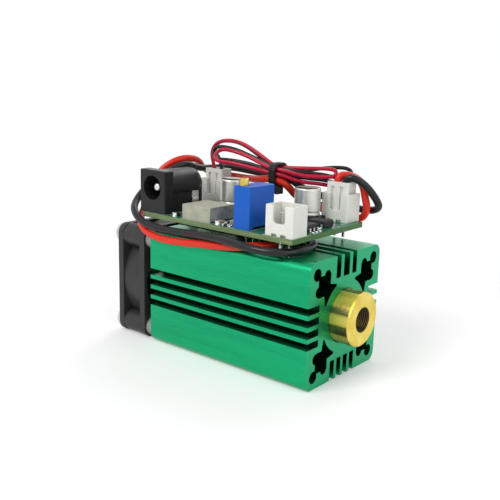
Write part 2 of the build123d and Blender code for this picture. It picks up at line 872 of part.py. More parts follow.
def make_plug(plane, label):
    """Plug down in a header, with holes for its pins, pockets for its leads and grooved sides."""
    inside_length = header_length - 2 * header_wall - 2 * slide_gap
    inside_depth = header_depth - 2 * header_wall - 2 * slide_gap
    foot = plane.offset(header_floor + plug_lift)
    height = header_height - header_floor - plug_lift + plug_rise
    with BuildPart() as plug:
        with BuildSketch(foot):
            Rectangle(inside_length, inside_depth)
        extrude(amount=height)
        chamfer(plug.edges().filter_by(Axis.Z), plug_edge)
        with BuildSketch(foot):
            with GridLocations(pin_pitch, inside_depth, 2, 2):
                Rectangle(plug_groove_width, 2 * plug_groove_depth)
        extrude(amount=height - plug_groove_top, mode=Mode.SUBTRACT)
        with BuildSketch(foot.offset(height)):
            with GridLocations(inside_length, 0, 2, 1):
                Rectangle(2 * plug_side_recess, plug_side_recess_width)
        extrude(amount=-plug_side_recess_height, mode=Mode.SUBTRACT)
        with BuildSketch(foot.offset(height)):
            with GridLocations(pin_pitch, 0, 2, 1):
                Rectangle(plug_pocket_length, plug_pocket_width)
        extrude(amount=-plug_pocket_depth, mode=Mode.SUBTRACT)
        with BuildSketch(foot):
            with GridLocations(pin_pitch, 0, 2, 1):
                Rectangle(plug_contact_width, plug_contact_width)
        extrude(amount=height - plug_groove_top, mode=Mode.SUBTRACT)
    keep(plug, label)


make_header(modulation_plane, "modulation_header")
make_header_pins(modulation_plane, "modulation_header_pins")
make_header(laser_plane, "laser_header")
make_header_pins(laser_plane, "laser_header_pins")
make_plug(laser_plane, "laser_plug")
make_header(fan_header_plane, "fan_header")
make_header_pins(fan_header_plane, "fan_header_pins")
make_plug(fan_header_plane, "fan_plug")

# Power jack: a front block, a round barrel on a square foot, and the socket for a round plug
jack_face = Plane(
    origin=jack_plane.origin + Vector(0, 0, jack_axis_height), x_dir=(1, 0, 0), z_dir=(0, -1, 0)
)
leaf_inner = jack_socket_radius - jack_leaf_inset - jack_leaf_thickness
leg_middle = jack_depth - jack_leg_from_rear - jack_leg_width / 2
with BuildPart() as jack_housing:
    with BuildSketch(jack_plane):
        with Locations((0, jack_block_depth / 2)):
            Rectangle(jack_width, jack_block_depth)
    extrude(amount=jack_height)
    chamfer(jack_housing.edges(), jack_edge)
    with BuildSketch(jack_plane):
        with Locations((0, jack_block_depth - jack_edge)):
            Rectangle(
                2 * (jack_barrel_radius - jack_foot_inset),
                jack_depth - jack_block_depth + jack_edge,
                align=(Align.CENTER, Align.MIN),
            )
    extrude(amount=jack_axis_height)
    with BuildSketch(jack_face.offset(-jack_block_depth / 2)):
        Circle(jack_barrel_radius)
    extrude(amount=jack_block_depth / 2 - jack_depth + jack_end_length)
    with BuildSketch(jack_face.offset(-jack_block_depth / 2)):
        Circle(jack_barrel_radius - jack_end_step)
    extrude(amount=jack_block_depth / 2 - jack_depth)
    with BuildSketch(jack_face):
        Circle(jack_socket_radius)
    extrude(amount=-jack_socket_depth, mode=Mode.SUBTRACT)
    with BuildSketch(jack_face):
        Circle(jack_pin_radius + pin_gap)
    extrude(amount=-jack_depth - cut_overrun, mode=Mode.SUBTRACT)
    with BuildSketch(jack_plane.offset(jack_axis_height - jack_leaf_height / 2 - pin_gap)):
        with Locations((leaf_inner - pin_gap, jack_leaf_start - pin_gap)):
            Rectangle(
                jack_leaf_thickness + 2 * pin_gap,
                leg_middle + jack_leg_width / 2 - jack_leaf_start + 2 * pin_gap,
                align=(Align.MIN, Align.MIN),
            )
    extrude(amount=jack_leaf_height + 2 * pin_gap, mode=Mode.SUBTRACT)
    with BuildSketch(jack_plane):
        with Locations((leaf_inner - pin_gap, leg_middle)):
            Rectangle(
                jack_leaf_thickness + 2 * pin_gap,
                jack_leg_width + 2 * pin_gap,
                align=(Align.MIN, Align.CENTER),
            )
    extrude(amount=jack_axis_height, mode=Mode.SUBTRACT)
    with BuildSketch(jack_plane):
        with Locations((leaf_inner, leg_middle)):
            Rectangle(jack_width, jack_leg_width + 2 * jack_notch_margin, align=(Align.MIN, Align.CENTER))
    extrude(amount=jack_leg_height + jack_notch_margin, mode=Mode.SUBTRACT)
keep(jack_housing, "jack_housing")

# Centre pin of the jack, with its blade down the back and through the board
with BuildPart() as jack_pin:
    with BuildSketch(jack_face.offset(-jack_pin_recess)):
        Circle(jack_pin_radius)
    extrude(amount=jack_pin_recess - jack_depth - pin_gap)
    fillet(jack_pin.edges().sort_by(Axis.Y)[0], jack_pin_radius / 2)
    with BuildSketch(jack_plane.offset(-tail_length)):
        with Locations((0, jack_depth + pin_gap)):
            Rectangle(jack_blade_width, jack_blade_thickness, align=(Align.CENTER, Align.MIN))
    extrude(amount=tail_length + jack_axis_height + jack_pin_radius)
keep(jack_pin, "jack_pin")

# Spring leaf along the socket's side, stepped out to a leg that runs down through the notch
leg_outer = jack_barrel_radius - jack_foot_inset
with BuildPart() as jack_leaf:
    with BuildSketch(jack_plane.offset(jack_axis_height - jack_leaf_height / 2)):
        with Locations((leaf_inner, jack_leaf_start)):
            Rectangle(
                jack_leaf_thickness,
                leg_middle + jack_leg_width / 2 - jack_leaf_start,
                align=(Align.MIN, Align.MIN),
            )
    extrude(amount=jack_leaf_height)
    with BuildSketch(jack_plane.offset(jack_leg_height - jack_leaf_thickness)):
        with Locations((leaf_inner, leg_middle)):
            Rectangle(jack_leaf_thickness, jack_leg_width, align=(Align.MIN, Align.CENTER))
    extrude(amount=jack_axis_height - jack_leg_height + jack_leaf_thickness)
    with BuildSketch(jack_plane.offset(jack_leg_height - jack_leaf_thickness)):
        with Locations((leaf_inner, leg_middle)):
            Rectangle(leg_outer - leaf_inner, jack_leg_width, align=(Align.MIN, Align.CENTER))
    extrude(amount=jack_leaf_thickness)
    with BuildSketch(jack_plane.offset(-tail_length)):
        with Locations((leg_outer, leg_middle)):
            Rectangle(jack_leaf_thickness, jack_leg_width, align=(Align.MAX, Align.CENTER))
    extrude(amount=tail_length + jack_leg_height)
keep(jack_leaf, "jack_leaf")

# Trimmer: a block on two feet, a slotted screw in its top and three pins below
trimmer_screw_place = (
    trimmer_screw_from_side - trimmer_width / 2,
    trimmer_screw_from_end - trimmer_length / 2,
)
with BuildPart() as trimmer_body:
    with BuildSketch(trimmer_plane):
        Rectangle(trimmer_width, trimmer_length)
    extrude(amount=trimmer_height)
    fillet(trimmer_body.faces().sort_by(Axis.Z)[-1].edges(), trimmer_edge)
    with BuildSketch(trimmer_plane):
        Rectangle(trimmer_width, trimmer_length - 2 * trimmer_foot)
    extrude(amount=trimmer_standoff, mode=Mode.SUBTRACT)
    with BuildSketch(trimmer_plane.offset(trimmer_height)):
        with Locations(trimmer_screw_place):
            Circle(trimmer_screw_radius + running_gap)
    extrude(amount=-trimmer_screw_depth - running_gap, mode=Mode.SUBTRACT)
keep(trimmer_body, "trimmer_body")

with BuildPart() as trimmer_screw:
    with BuildSketch(trimmer_plane.offset(trimmer_height - trimmer_screw_depth)):
        with Locations(trimmer_screw_place):
            Circle(trimmer_screw_radius)
    extrude(amount=trimmer_screw_depth + trimmer_screw_rise)
    chamfer(trimmer_screw.edges().filter_by(GeomType.CIRCLE).sort_by(Axis.Z)[-1], trimmer_slot_width / 3)
    with BuildSketch(trimmer_plane.offset(trimmer_height + trimmer_screw_rise)):
        with Locations(trimmer_screw_place):
            Rectangle(3 * trimmer_screw_radius, trimmer_slot_width, rotation=45)
    extrude(amount=-trimmer_slot_depth, mode=Mode.SUBTRACT)
keep(trimmer_screw, "trimmer_screw")

with BuildPart() as trimmer_pins:
    with BuildSketch(trimmer_plane.offset(-tail_length)):
        with GridLocations(0, pin_pitch, 1, 3):
            Circle(trimmer_pin_radius)
    extrude(amount=tail_length + trimmer_standoff)
keep(trimmer_pins, "trimmer_pins")

# Board, with a hole for every pin that comes through it
with BuildPart() as circuit_board:
    with BuildSketch(board_centre):
        RectangleRounded(board_length, board_width, board_corner_radius)
    extrude(amount=board_thickness)
    for plane in (modulation_plane, laser_plane, fan_header_plane):
        with BuildSketch(plane):
            with GridLocations(pin_pitch, 0, 2, 1):
                Circle(pin_width * math.sqrt(2) / 2 + board_hole_gap)
        extrude(amount=-board_thickness, mode=Mode.SUBTRACT)
    with BuildSketch(trimmer_plane):
        with GridLocations(0, pin_pitch, 1, 3):
            Circle(trimmer_pin_radius + board_hole_gap)
    extrude(amount=-board_thickness, mode=Mode.SUBTRACT)
    with BuildSketch(jack_plane):
        with Locations((0, jack_depth + pin_gap + jack_blade_thickness / 2)):
            Rectangle(jack_blade_width + 2 * board_hole_gap, jack_blade_thickness + 2 * board_hole_gap)
        with Locations((leg_outer - jack_leaf_thickness / 2, leg_middle)):
            Rectangle(jack_leaf_thickness + 2 * board_hole_gap, jack_leg_width + 2 * board_hole_gap)
    extrude(amount=-board_thickness, mode=Mode.SUBTRACT)
keep(circuit_board, "circuit_board")

# Capacitors: a rounded can with a crimp near its foot, on a square base with two cut corners
with BuildPart() as capacitor_cans:
    for plane in can_planes:
        can_foot = plane.offset(can_base_thickness).origin
        with BuildSketch(Plane(origin=can_foot, x_dir=(1, 0, 0), z_dir=(0, -1, 0))):
            with BuildLine():
                Polyline(
                    (0, 0),
                    (can_radius - can_edge, 0),
                    (can_radius, can_edge),
                    (can_radius, can_groove_height - can_groove_radius),
                    (can_radius - can_groove_radius, can_groove_height),
                    (can_radius, can_groove_height + can_groove_radius),
                    (can_radius, can_height - can_edge),
                )
                RadiusArc(
                    (can_radius, can_height - can_edge), (can_radius - can_edge, can_height), -can_edge
                )
                Polyline((can_radius - can_edge, can_height), (0, can_height), (0, 0))
            make_face()
        revolve(axis=Axis(plane.origin, (0, 0, 1)))
keep(capacitor_cans, "capacitor_cans")

with BuildPart() as capacitor_bases:
    for plane in can_planes:
        with BuildSketch(plane) as base_outline:
            Rectangle(can_base_size, can_base_size)
            chamfer(base_outline.vertices().group_by(Axis.Y)[0], can_base_chamfer)
        extrude(amount=can_base_thickness)
keep(capacitor_bases, "capacitor_bases")

# Inductor: a dark core in a folded cover that leaves its two ends open
with BuildPart() as inductor_core:
    with BuildSketch(inductor_plane.offset(inductor_foot_height)):
        Rectangle(inductor_length - 2 * inductor_side_inset, inductor_width - 2 * inductor_shield)
    extrude(amount=inductor_height - inductor_shield - inductor_foot_height)
keep(inductor_core, "inductor_core")

with BuildPart() as inductor_cover:
    with BuildSketch(inductor_plane):
        Rectangle(inductor_length, inductor_width)
    extrude(amount=inductor_height)
    with BuildSketch(inductor_plane):
        Rectangle(inductor_length + cut_overrun, inductor_width - 2 * inductor_shield)
    extrude(amount=inductor_height - inductor_shield, mode=Mode.SUBTRACT)
    fillet(
        inductor_cover.edges().filter_by(Axis.X).group_by(Axis.Z)[-1], inductor_shield * 4 / 5
    )
keep(inductor_cover, "inductor_cover")


# Chip packages: a bevelled block over bent leads
def make_package(plane, length, width, label):
    """Moulded block of a chip package, with its length along its plane's Y."""
    with BuildPart() as package:
        with BuildSketch(plane.offset(chip_lift)):
            Rectangle(width, length)
        extrude(amount=chip_height)
        chamfer(package.faces().sort_by(Axis.Z)[-1].edges(), chip_bevel)
    keep(package, label)


def lead_profile(plane, width):
    """Side outline of one bent lead, from the package's side down to the board."""
    out = width / 2 + chip_lead_reach
    step = width / 2 + chip_lead_reach / 2
    high = chip_lift + chip_height / 2
    side = Plane(origin=plane.origin, x_dir=plane.x_dir, z_dir=-plane.y_dir)
    with BuildSketch(side) as outline:
        with BuildLine():
            Polyline(
                (width / 2, high),
                (step, high),
                (step, chip_lead_thickness),
                (out, chip_lead_thickness),
                (out, 0),
                (step - chip_lead_thickness, 0),
                (step - chip_lead_thickness, high - chip_lead_thickness),
                (width / 2, high - chip_lead_thickness),
                close=True,
            )
        make_face()
        mirror(about=Plane.YZ)
    return outline.sketch_local


def make_package_leads(plane, width, lead_width, pitch, count, label):
    """A row of bent leads along each long side of a package."""
    outline = lead_profile(plane, width)
    with BuildPart() as leads:
        for number in range(count):
            offset = (number - (count - 1) / 2) * pitch
            origin = plane.origin + plane.y_dir * (offset + lead_width / 2)
            with BuildSketch(Plane(origin=origin, x_dir=plane.x_dir, z_dir=-plane.y_dir)):
                add(outline)
            extrude(amount=lead_width)
    keep(leads, label)


turned_chip_plane = chip_plane.rotated((0, 0, 90))
make_package(turned_chip_plane, chip_length, chip_width, "driver_chip")
make_package_leads(
    turned_chip_plane, chip_width, chip_lead_width, chip_lead_pitch, 4, "driver_chip_leads"
)
make_package(transistor_plane, transistor_length, transistor_width, "power_transistor")
make_package_leads(
    transistor_plane,
    transistor_width,
    transistor_lead_width,
    transistor_lead_pitch,
    3,
    "power_transistor_leads",
)

# Small two-ended chips: distance from the front edge and from the near side, and turn
near_trimmer = between(trimmer_rear, inductor_from_front, 0.36)
near_inductor = between(trimmer_rear, inductor_from_front, 0.68)
behind_inductor = between(inductor_rear, jack_from_front, 0.5)
beside_chip = between(chip_from_front + chip_length, trimmer_from_front, 0.59)
resistor_places = [
    (near_inductor, 4.4, 90),
    (near_trimmer, 1.5, 0),
    (beside_chip, 10.4, 90),
    (beside_chip, 13.4, 90),
    (beside_chip, 16.4, 90),
]
ceramic_places = [
    (behind_inductor, 1.7, 90),
    (near_inductor, 1.5, 90),
    (near_trimmer, 4.2, 0),
    (near_trimmer, 13.0, 0),
]


def make_small_chips(places, height, label):
    """Bodies of small chips between their end caps."""
    with BuildPart() as bodies:
        for from_front, from_side, turn in places:
            spot = on_board(from_front, from_side).rotated((0, 0, turn))
            with BuildSketch(spot):
                Rectangle(small_chip_length - 2 * end_cap_length, small_chip_width)
            extrude(amount=height)
    keep(bodies, label)


make_small_chips(resistor_places, resistor_height, "chip_resistors")
make_small_chips(ceramic_places, ceramic_height, "chip_ceramics")

with BuildPart() as chip_end_caps:
    for places, height in ((resistor_places, resistor_height), (ceramic_places, ceramic_height)):
        for from_front, from_side, turn in places:
            spot = on_board(from_front, from_side).rotated((0, 0, turn))
            with BuildSketch(spot):
                with GridLocations(small_chip_length - end_cap_length, 0, 2, 1):
                    Rectangle(end_cap_length, small_chip_width)
            extrude(amount=height)
keep(chip_end_caps, "chip_end_caps")


def make_lead(points, radius, label):
    """Round lead along its turning points, with every corner rounded as widely as its runs allow."""
    runs = [(Vector(*end) - Vector(*start)) for start, end in zip(points, points[1:])]
    radii = [
        lead_turn_share
        * min(before.length, after.length)
        / math.tan(math.radians(before.get_angle(after)) / 2)
        for before, after in zip(runs, runs[1:])
    ]
    with BuildPart() as lead:
        with BuildLine() as route:
            FilletPolyline(*points, radius=radii)
        with BuildSketch(Plane(origin=points[0], z_dir=runs[0])):
            Circle(radius)
        sweep(path=route.wires()[0])
    keep(lead, label)


make_lead(laser_lead_red_points, laser_lead_radius, "laser_lead_red")
make_lead(laser_lead_black_points, laser_lead_radius, "laser_lead_black")
make_lead(fan_lead_red_points, fan_lead_radius, "fan_lead_red")
make_lead(fan_lead_black_points, fan_lead_radius, "fan_lead_black")

# Tie: a band round the bundle, its head below and the cut tail beside the head
with BuildPart() as cable_tie:
    with BuildSketch(Plane(origin=(tie_x - tie_width / 2, tie_y, tie_z), x_dir=(0, 1, 0), z_dir=(1, 0, 0))):
        RectangleRounded(
            tie_inside_across + 2 * tie_thickness,
            tie_inside_high + 2 * tie_thickness,
            tie_inside_corner + tie_thickness,
        )
        RectangleRounded(tie_inside_across, tie_inside_high, tie_inside_corner, mode=Mode.SUBTRACT)
    extrude(amount=tie_width)
    head_top = tie_z - tie_inside_high / 2 - tie_thickness / 2
    head_near = tie_y - tie_inside_across / 2
    with BuildSketch(Plane(origin=(tie_x + tie_head_shift, head_near, head_top))):
        Rectangle(tie_head_length, tie_head_depth, align=(Align.CENTER, Align.MIN))
    extrude(amount=-tie_head_height)
    tail_plane = Plane(
        origin=(tie_x, head_near + tie_thickness + tie_head_depth / 4, head_top - tie_head_height / 2),
        x_dir=(1, 0, 0),
        z_dir=(0, -1, 0),
    ).rotated((0, 0, tie_tail_turn))
    with BuildSketch(tail_plane):
        Rectangle(tie_tail_length, tie_width * 4 / 5, align=(Align.MIN, Align.CENTER))
    extrude(amount=tie_thickness)
keep(cable_tie, "cable_tie")

for piece in pieces:
    export_step(piece.part, f"parts/{piece.part.label}.step")
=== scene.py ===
"""Looks of the laser diode module: camera, light, materials, leads and small details.

The record's frame is used as it is. Lengths are in metres, or in millimetres where a name ends
in _mm, where the value passes through mm(), and in the points and outlines that say so.
"""

import math

import bmesh
import bpy
from mathutils import Matrix, Vector


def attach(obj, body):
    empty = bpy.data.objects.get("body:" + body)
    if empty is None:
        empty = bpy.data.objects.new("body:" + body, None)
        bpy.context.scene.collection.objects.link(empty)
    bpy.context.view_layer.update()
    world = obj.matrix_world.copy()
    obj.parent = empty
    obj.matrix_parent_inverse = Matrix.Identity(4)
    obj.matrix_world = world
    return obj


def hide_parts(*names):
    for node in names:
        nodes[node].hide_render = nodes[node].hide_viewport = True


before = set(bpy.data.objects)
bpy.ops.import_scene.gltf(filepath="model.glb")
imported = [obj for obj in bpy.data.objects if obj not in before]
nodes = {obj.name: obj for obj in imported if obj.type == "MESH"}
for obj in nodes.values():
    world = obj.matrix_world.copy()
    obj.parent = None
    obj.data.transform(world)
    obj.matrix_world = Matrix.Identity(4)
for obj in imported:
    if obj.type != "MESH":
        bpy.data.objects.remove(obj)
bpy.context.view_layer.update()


def mm(*values):
    """Millimetres to metres, for one number or a point."""
    scaled = tuple(value / 1000 for value in values)
    return scaled[0] if len(scaled) == 1 else scaled


# Camera, at the place and with the lens that the photograph was taken with
camera_place = Vector(mm(109.41, -139.90, 68.21))
camera_yaw = math.radians(129.035)
camera_pitch = math.radians(13.248)
camera_roll = math.radians(-1.563)
focal_pixels = 722.51
frame_pixels = 500
forward = Vector((
    math.cos(camera_pitch) * math.cos(camera_yaw),
    math.cos(camera_pitch) * math.sin(camera_yaw),
    -math.sin(camera_pitch),
))
level_right = forward.cross(Vector((0, 0, 1))).normalized()
level_down = forward.cross(level_right)
right = math.cos(camera_roll) * level_right + math.sin(camera_roll) * level_down
down = math.cos(camera_roll) * level_down - math.sin(camera_roll) * level_right
camera_data = bpy.data.cameras.new("camera")
camera_data.sensor_width = 36
camera_data.lens = focal_pixels / frame_pixels * camera_data.sensor_width
camera_data.clip_start = 0.005
camera = bpy.data.objects.new("camera", camera_data)
camera_turn = Matrix((right, -down, -forward)).transposed().to_4x4()
camera.matrix_world = Matrix.Translation(camera_place) @ camera_turn
bpy.context.scene.collection.objects.link(camera)
bpy.context.scene.camera = camera

# Control points of the leads, in millimetres
laser_lead_red_points = [
    (3.2, -1.1, 14.4),
    (-2.5, -1.1, 14.4),
    (-7.1, -1.1, 19.0),
    (-7.4, -1.1, 26.8),
    (-7.0, -1.1, 31.2),
    (-2.4, -1.2, 31.2),
    (4.6, -1.6, 31.2),
    (10.2, -4.4, 31.15),
    (10.9, -10.2, 31.15),
    (7.6, -14.6, 31.0),
    (1.4, -15.2, 29.95),
    (-5.4, -15.7, 29.5),
    (-12.4, -16.0, 28.9),
    (-19.2, -16.2, 28.6),
    (-25.2, -16.0, 29.4),
    (-29.6, -14.4, 31.4),
    (-32.6, -10.8, 33.4),
    (-34.0, -6.6, 36.6),
    (-36.2, -3.8, 40.2),
    (-34.6, -1.4, 43.9),
    (-31.8, 0.9, 46.3),
    (-30.2, 4.4, 46.9),
    (-30.6, 9.0, 45.8),
    (-32.4, 12.6, 42.8),
    (-28.6, 15.8, 41.6),
    (-23.4, 14.9, 41.7),
    (-16.2, 12.7, 41.9),
    (-9.4, 9.2, 42.6),
    (-4.6, 7.65, 43.5),
    (0.3, 7.9, 43.1),
    (0.9, 13.0, 38.5),
    (4.4, 17.2, 36.1),
    (11.4, 18.5, 34.4),
    (17.2, 18.6, 34.2),
    (19.1, 18.0, 37.2),
    (18.4, 17.6, 40.3),
    (17.9, 17.4, 42.9),
    (16.9, 16.5, 44.9),
    (14.6, 15.2, 45.8),
    (12.75, 13.5, 45.5),
    (12.73, 13.38, 43.45),
]
laser_lead_black_points = [
    (3.2, 1.1, 14.4),
    (-2.5, 1.1, 14.4),
    (-7.1, 1.1, 19.0),
    (-7.4, 1.1, 26.8),
    (-7.0, 1.1, 31.2),
    (-2.6, 1.2, 31.2),
    (5.0, 1.8, 31.2),
    (12.6, 1.4, 31.2),
    (17.6, -2.4, 31.2),
    (19.4, -8.6, 31.2),
    (17.9, -14.0, 31.1),
    (13.0, -16.7, 31.1),
    (6.4, -16.9, 31.5),
    (-0.6, -16.3, 31.9),
    (-7.6, -15.8, 31.6),
    (-14.2, -15.8, 31.2),
    (-20.8, -16.0, 31.2),
    (-26.8, -16.3, 32.0),
    (-31.4, -15.0, 34.3),
    (-34.4, -11.4, 36.2),
    (-34.9, -7.2, 39.2),
    (-32.8, -4.0, 42.0),
    (-30.6, -0.8, 44.4),
    (-29.2, 2.4, 45.6),
    (-29.4, 6.8, 43.9),
    (-28.8, 12.2, 43.6),
    (-24.4, 14.6, 44.1),
    (-18.8, 14.0, 44.1),
    (-12.4, 12.4, 44.0),
    (-7.4, 10.7, 44.0),
    (-4.4, 9.85, 43.95),
    (0.2, 10.1, 43.9),
    (3.3, 12.2, 41.2),
    (6.0, 18.2, 38.9),
    (11.6, 19.8, 37.0),
    (18.4, 20.5, 36.4),
    (21.6, 19.8, 37.7),
    (21.4, 17.9, 40.2),
    (19.8, 15.5, 43.5),
    (17.5, 13.8, 45.4),
    (15.3, 13.3, 45.3),
    (15.27, 13.38, 43.45),
]
fan_lead_red_points = [
    (-26.7, 1.9, 20.0),
    (-26.7, 3.6, 24.6),
    (-26.4, 5.4, 29.2),
    (-25.9, 7.6, 31.6),
    (-25.8, 12.6, 31.7),
    (-20.4, 16.6, 32.1),
    (-13.5, 18.0, 33.4),
    (-5.0, 18.4, 34.6),
    (3.0, 19.6, 36.2),
    (9.3, 20.8, 38.4),
    (12.2, 18.9, 41.2),
    (8.8, 14.3, 42.8),
    (3.6, 9.6, 43.3),
    (-0.9, 7.1, 45.05),
    (-4.4, 7.0, 45.15),
    (-8.4, 5.4, 46.0),
    (-13.4, 4.0, 46.9),
    (-18.2, 3.6, 46.9),
    (-20.4, 4.2, 47.3),
    (-21.4, 5.6, 48.8),
    (-19.6, 6.2, 50.0),
    (-15.5, 6.2, 49.8),
    (-10.8, 6.9, 48.6),
    (-6.8, 7.3, 47.1),
    (-4.2, 7.3, 46.25),
    (-0.9, 7.4, 46.2),
    (4.2, 9.4, 44.9),
    (8.4, 12.0, 44.9),
    (11.2, 14.4, 44.9),
    (11.4, 14.9, 46.4),
    (9.6, 14.2, 46.9),
    (4.2, 11.1, 46.7),
    (-0.8, 9.65, 46.5),
    (-4.2, 9.6, 46.5),
    (-8.7, 9.0, 49.2),
    (-13.6, 8.6, 51.6),
    (-18.9, 8.6, 52.4),
    (-23.6, 8.7, 51.5),
    (-26.2, 9.3, 48.9),
    (-26.0, 9.5, 46.2),
    (-24.97, 9.48, 43.45),
]
fan_lead_black_points = [
    (-26.7, 3.2, 19.6),
    (-26.7, 4.9, 24.2),
    (-26.7, 7.6, 29.8),
    (-27.2, 10.2, 31.6),
    (-26.9, 14.4, 31.5),
    (-21.2, 18.0, 31.6),
    (-13.0, 19.4, 32.6),
    (-5.0, 19.8, 33.6),
    (3.4, 21.0, 35.2),
    (10.6, 22.0, 37.8),
    (14.0, 19.6, 41.5),
    (9.6, 15.0, 43.8),
    (3.6, 10.9, 44.2),
    (-0.8, 8.25, 45.1),
    (-4.4, 8.15, 45.1),
    (-9.0, 7.3, 46.6),
    (-14.4, 6.0, 47.3),
    (-19.2, 5.8, 47.3),
    (-21.7, 6.5, 47.0),
    (-24.3, 7.6, 48.0),
    (-23.5, 7.9, 50.5),
    (-16.6, 7.6, 50.3),
    (-10.6, 8.0, 48.6),
    (-6.6, 8.4, 47.3),
    (-4.2, 8.45, 46.2),
    (-0.8, 8.5, 46.2),
    (4.0, 10.5, 45.6),
    (8.0, 14.2, 45.3),
    (11.2, 16.9, 44.2),
    (13.6, 18.8, 44.5),
    (13.1, 18.7, 47.0),
    (8.6, 16.7, 47.0),
    (3.8, 13.2, 46.0),
    (-0.8, 9.4, 45.35),
    (-4.2, 9.35, 45.35),
    (-7.8, 10.4, 47.4),
    (-14.4, 9.9, 51.2),
    (-19.8, 9.9, 52.1),
    (-24.9, 10.2, 51.3),
    (-26.5, 10.7, 48.6),
    (-23.2, 9.8, 46.6),
    (-22.43, 9.48, 43.45),
]


# Leads: one smooth curve each
def make_lead(name, node, points, radius_mm):
    """Round lead as a smooth curve with the given control points, in place of a CAD node."""
    curve = bpy.data.curves.new(name, "CURVE")
    curve.dimensions = "3D"
    curve.bevel_depth = 1
    curve.bevel_resolution = 7
    curve.resolution_u = 14
    curve.use_fill_caps = True
    spline = curve.splines.new("NURBS")
    spline.points.add(len(points) - 1)
    for spot, point in zip(spline.points, points):
        spot.co = (*mm(*point), 1)
        spot.radius = mm(radius_mm)
    spline.order_u = 3
    spline.use_endpoint_u = True
    lead = bpy.data.objects.new(name, curve)
    bpy.context.scene.collection.objects.link(lead)
    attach(lead, "module")
    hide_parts(node)
    return lead


laser_radius_mm = 0.95
fan_radius_mm = 0.5
laser_red = make_lead(
    "laser_red_wire",
    "laser_lead_red",
    laser_lead_red_points,
    radius_mm=laser_radius_mm,
)
laser_black = make_lead(
    "laser_black_wire",
    "laser_lead_black",
    laser_lead_black_points,
    radius_mm=laser_radius_mm,
)
fan_red = make_lead(
    "fan_red_wire",
    "fan_lead_red",
    fan_lead_red_points,
    radius_mm=fan_radius_mm,
)
fan_black = make_lead(
    "fan_black_wire",
    "fan_lead_black",
    fan_lead_black_points,
    radius_mm=fan_radius_mm,
)


# Materials
class Nodes:
    """A material and its nodes, with short calls for the usual links."""

    def __init__(self, name):
        self.material = bpy.data.materials.new(name)
        self.material.use_nodes = True
        self.tree = self.material.node_tree
        self.shader = self.tree.nodes["Principled BSDF"]
        self.place = self.add("ShaderNodeTexCoord").outputs["Object"]

    def add(self, kind, **settings):
        """New node with the given settings."""
        node = self.tree.nodes.new(kind)
        for key, value in settings.items():
            setattr(node, key, value)
        return node

    def join(self, source, target):
        """Link from an output to an input."""
        self.tree.links.new(source, target)

    def stretched(self, scale):
        """Object place with its axes scaled, for grain with a direction."""
        mapping = self.add("ShaderNodeMapping")
        mapping.inputs["Scale"].default_value = scale
        self.join(self.place, mapping.inputs["Vector"])
        return mapping.outputs["Vector"]

    def noise(self, scale, detail=4, vector=None, rough=0.5):
        """Noise from 0 to 1, over the object place if no vector is given."""
        node = self.add("ShaderNodeTexNoise")
        node.inputs["Scale"].default_value = scale
        node.inputs["Detail"].default_value = detail
        node.inputs["Roughness"].default_value = rough
        self.join(vector or self.place, node.inputs["Vector"])
        return node.outputs["Fac"]

    def span(self, value, low, high, to_low, to_high):
        """Value spread from one range to another."""
        node = self.add("ShaderNodeMapRange")
        limits = {"From Min": low, "From Max": high, "To Min": to_low, "To Max": to_high}
        for key, number in limits.items():
            node.inputs[key].default_value = number
        self.join(value, node.inputs["Value"])
        return node.outputs["Result"]

    def math(self, operation, a, b=None):
        """Sum, product or another operation on one or two numbers or sockets."""
        node = self.add("ShaderNodeMath", operation=operation)
        for number, value in enumerate((a, b)):
            if value is None:
                continue
            if isinstance(value, (int, float)):
                node.inputs[number].default_value = value
            else:
                self.join(value, node.inputs[number])
        return node.outputs["Value"]

    def mix(self, factor, a, b):
        """Colour between a and b, either of them a colour or a socket."""
        node = self.add("ShaderNodeMix", data_type="RGBA")
        self.join(factor, node.inputs[0])
        for socket, value in ((node.inputs[6], a), (node.inputs[7], b)):
            if isinstance(value, tuple):
                socket.default_value = (*value, 1)
            else:
                self.join(value, socket)
        return node.outputs[2]

    def axes(self, vector=None):
        """The three coordinates of a vector, the object place if none is given."""
        node = self.add("ShaderNodeSeparateXYZ")
        self.join(vector or self.place, node.inputs["Vector"])
        return [node.outputs[axis] for axis in "XYZ"]

    def facing(self):
        """The size of the surface normal along each axis."""
        normal = self.add("ShaderNodeNewGeometry").outputs["Normal"]
        return [self.math("ABSOLUTE", part) for part in self.axes(normal)]

    def distance(self, a, b, a_mm, b_mm):
        """Distance in the plane of two coordinates from a point in it."""
        squares = []
        for value, centre_mm in ((a, a_mm), (b, b_mm)):
            off = self.math("SUBTRACT", value, mm(centre_mm))
            squares.append(self.math("MULTIPLY", off, off))
        return self.math("SQRT", self.math("ADD", *squares))

    def wave(self, value, pitch_mm):
        """Sine of a length that repeats with the given pitch."""
        return self.math("SINE", self.math("MULTIPLY", value, 2 * math.pi / mm(pitch_mm)))

    def colour(self):
        """What the shader's base colour is linked to."""
        return self.shader.inputs["Base Color"].links[0].from_socket

    def bump(self, height, distance_mm, strength=1.0):
        """Height as a relief of the surface, on top of the relief that is there."""
        node = self.add("ShaderNodeBump")
        node.inputs["Distance"].default_value = mm(distance_mm)
        node.inputs["Strength"].default_value = strength
        self.join(height, node.inputs["Height"])
        previous = self.shader.inputs["Normal"]
        if previous.is_linked:
            self.join(previous.links[0].from_socket, node.inputs["Normal"])
        self.join(node.outputs["Normal"], self.shader.inputs["Normal"])

    def set(self, **values):
        """Numbers, colours or sockets for the shader's inputs, named with underscores."""
        for key, value in values.items():
            socket = self.shader.inputs[key.replace("_", " ")]
            if isinstance(value, tuple):
                socket.default_value = (*value, 1)
            elif isinstance(value, (int, float)):
                socket.default_value = value
            else:
                self.join(value, socket)


broad_grain_times = 14


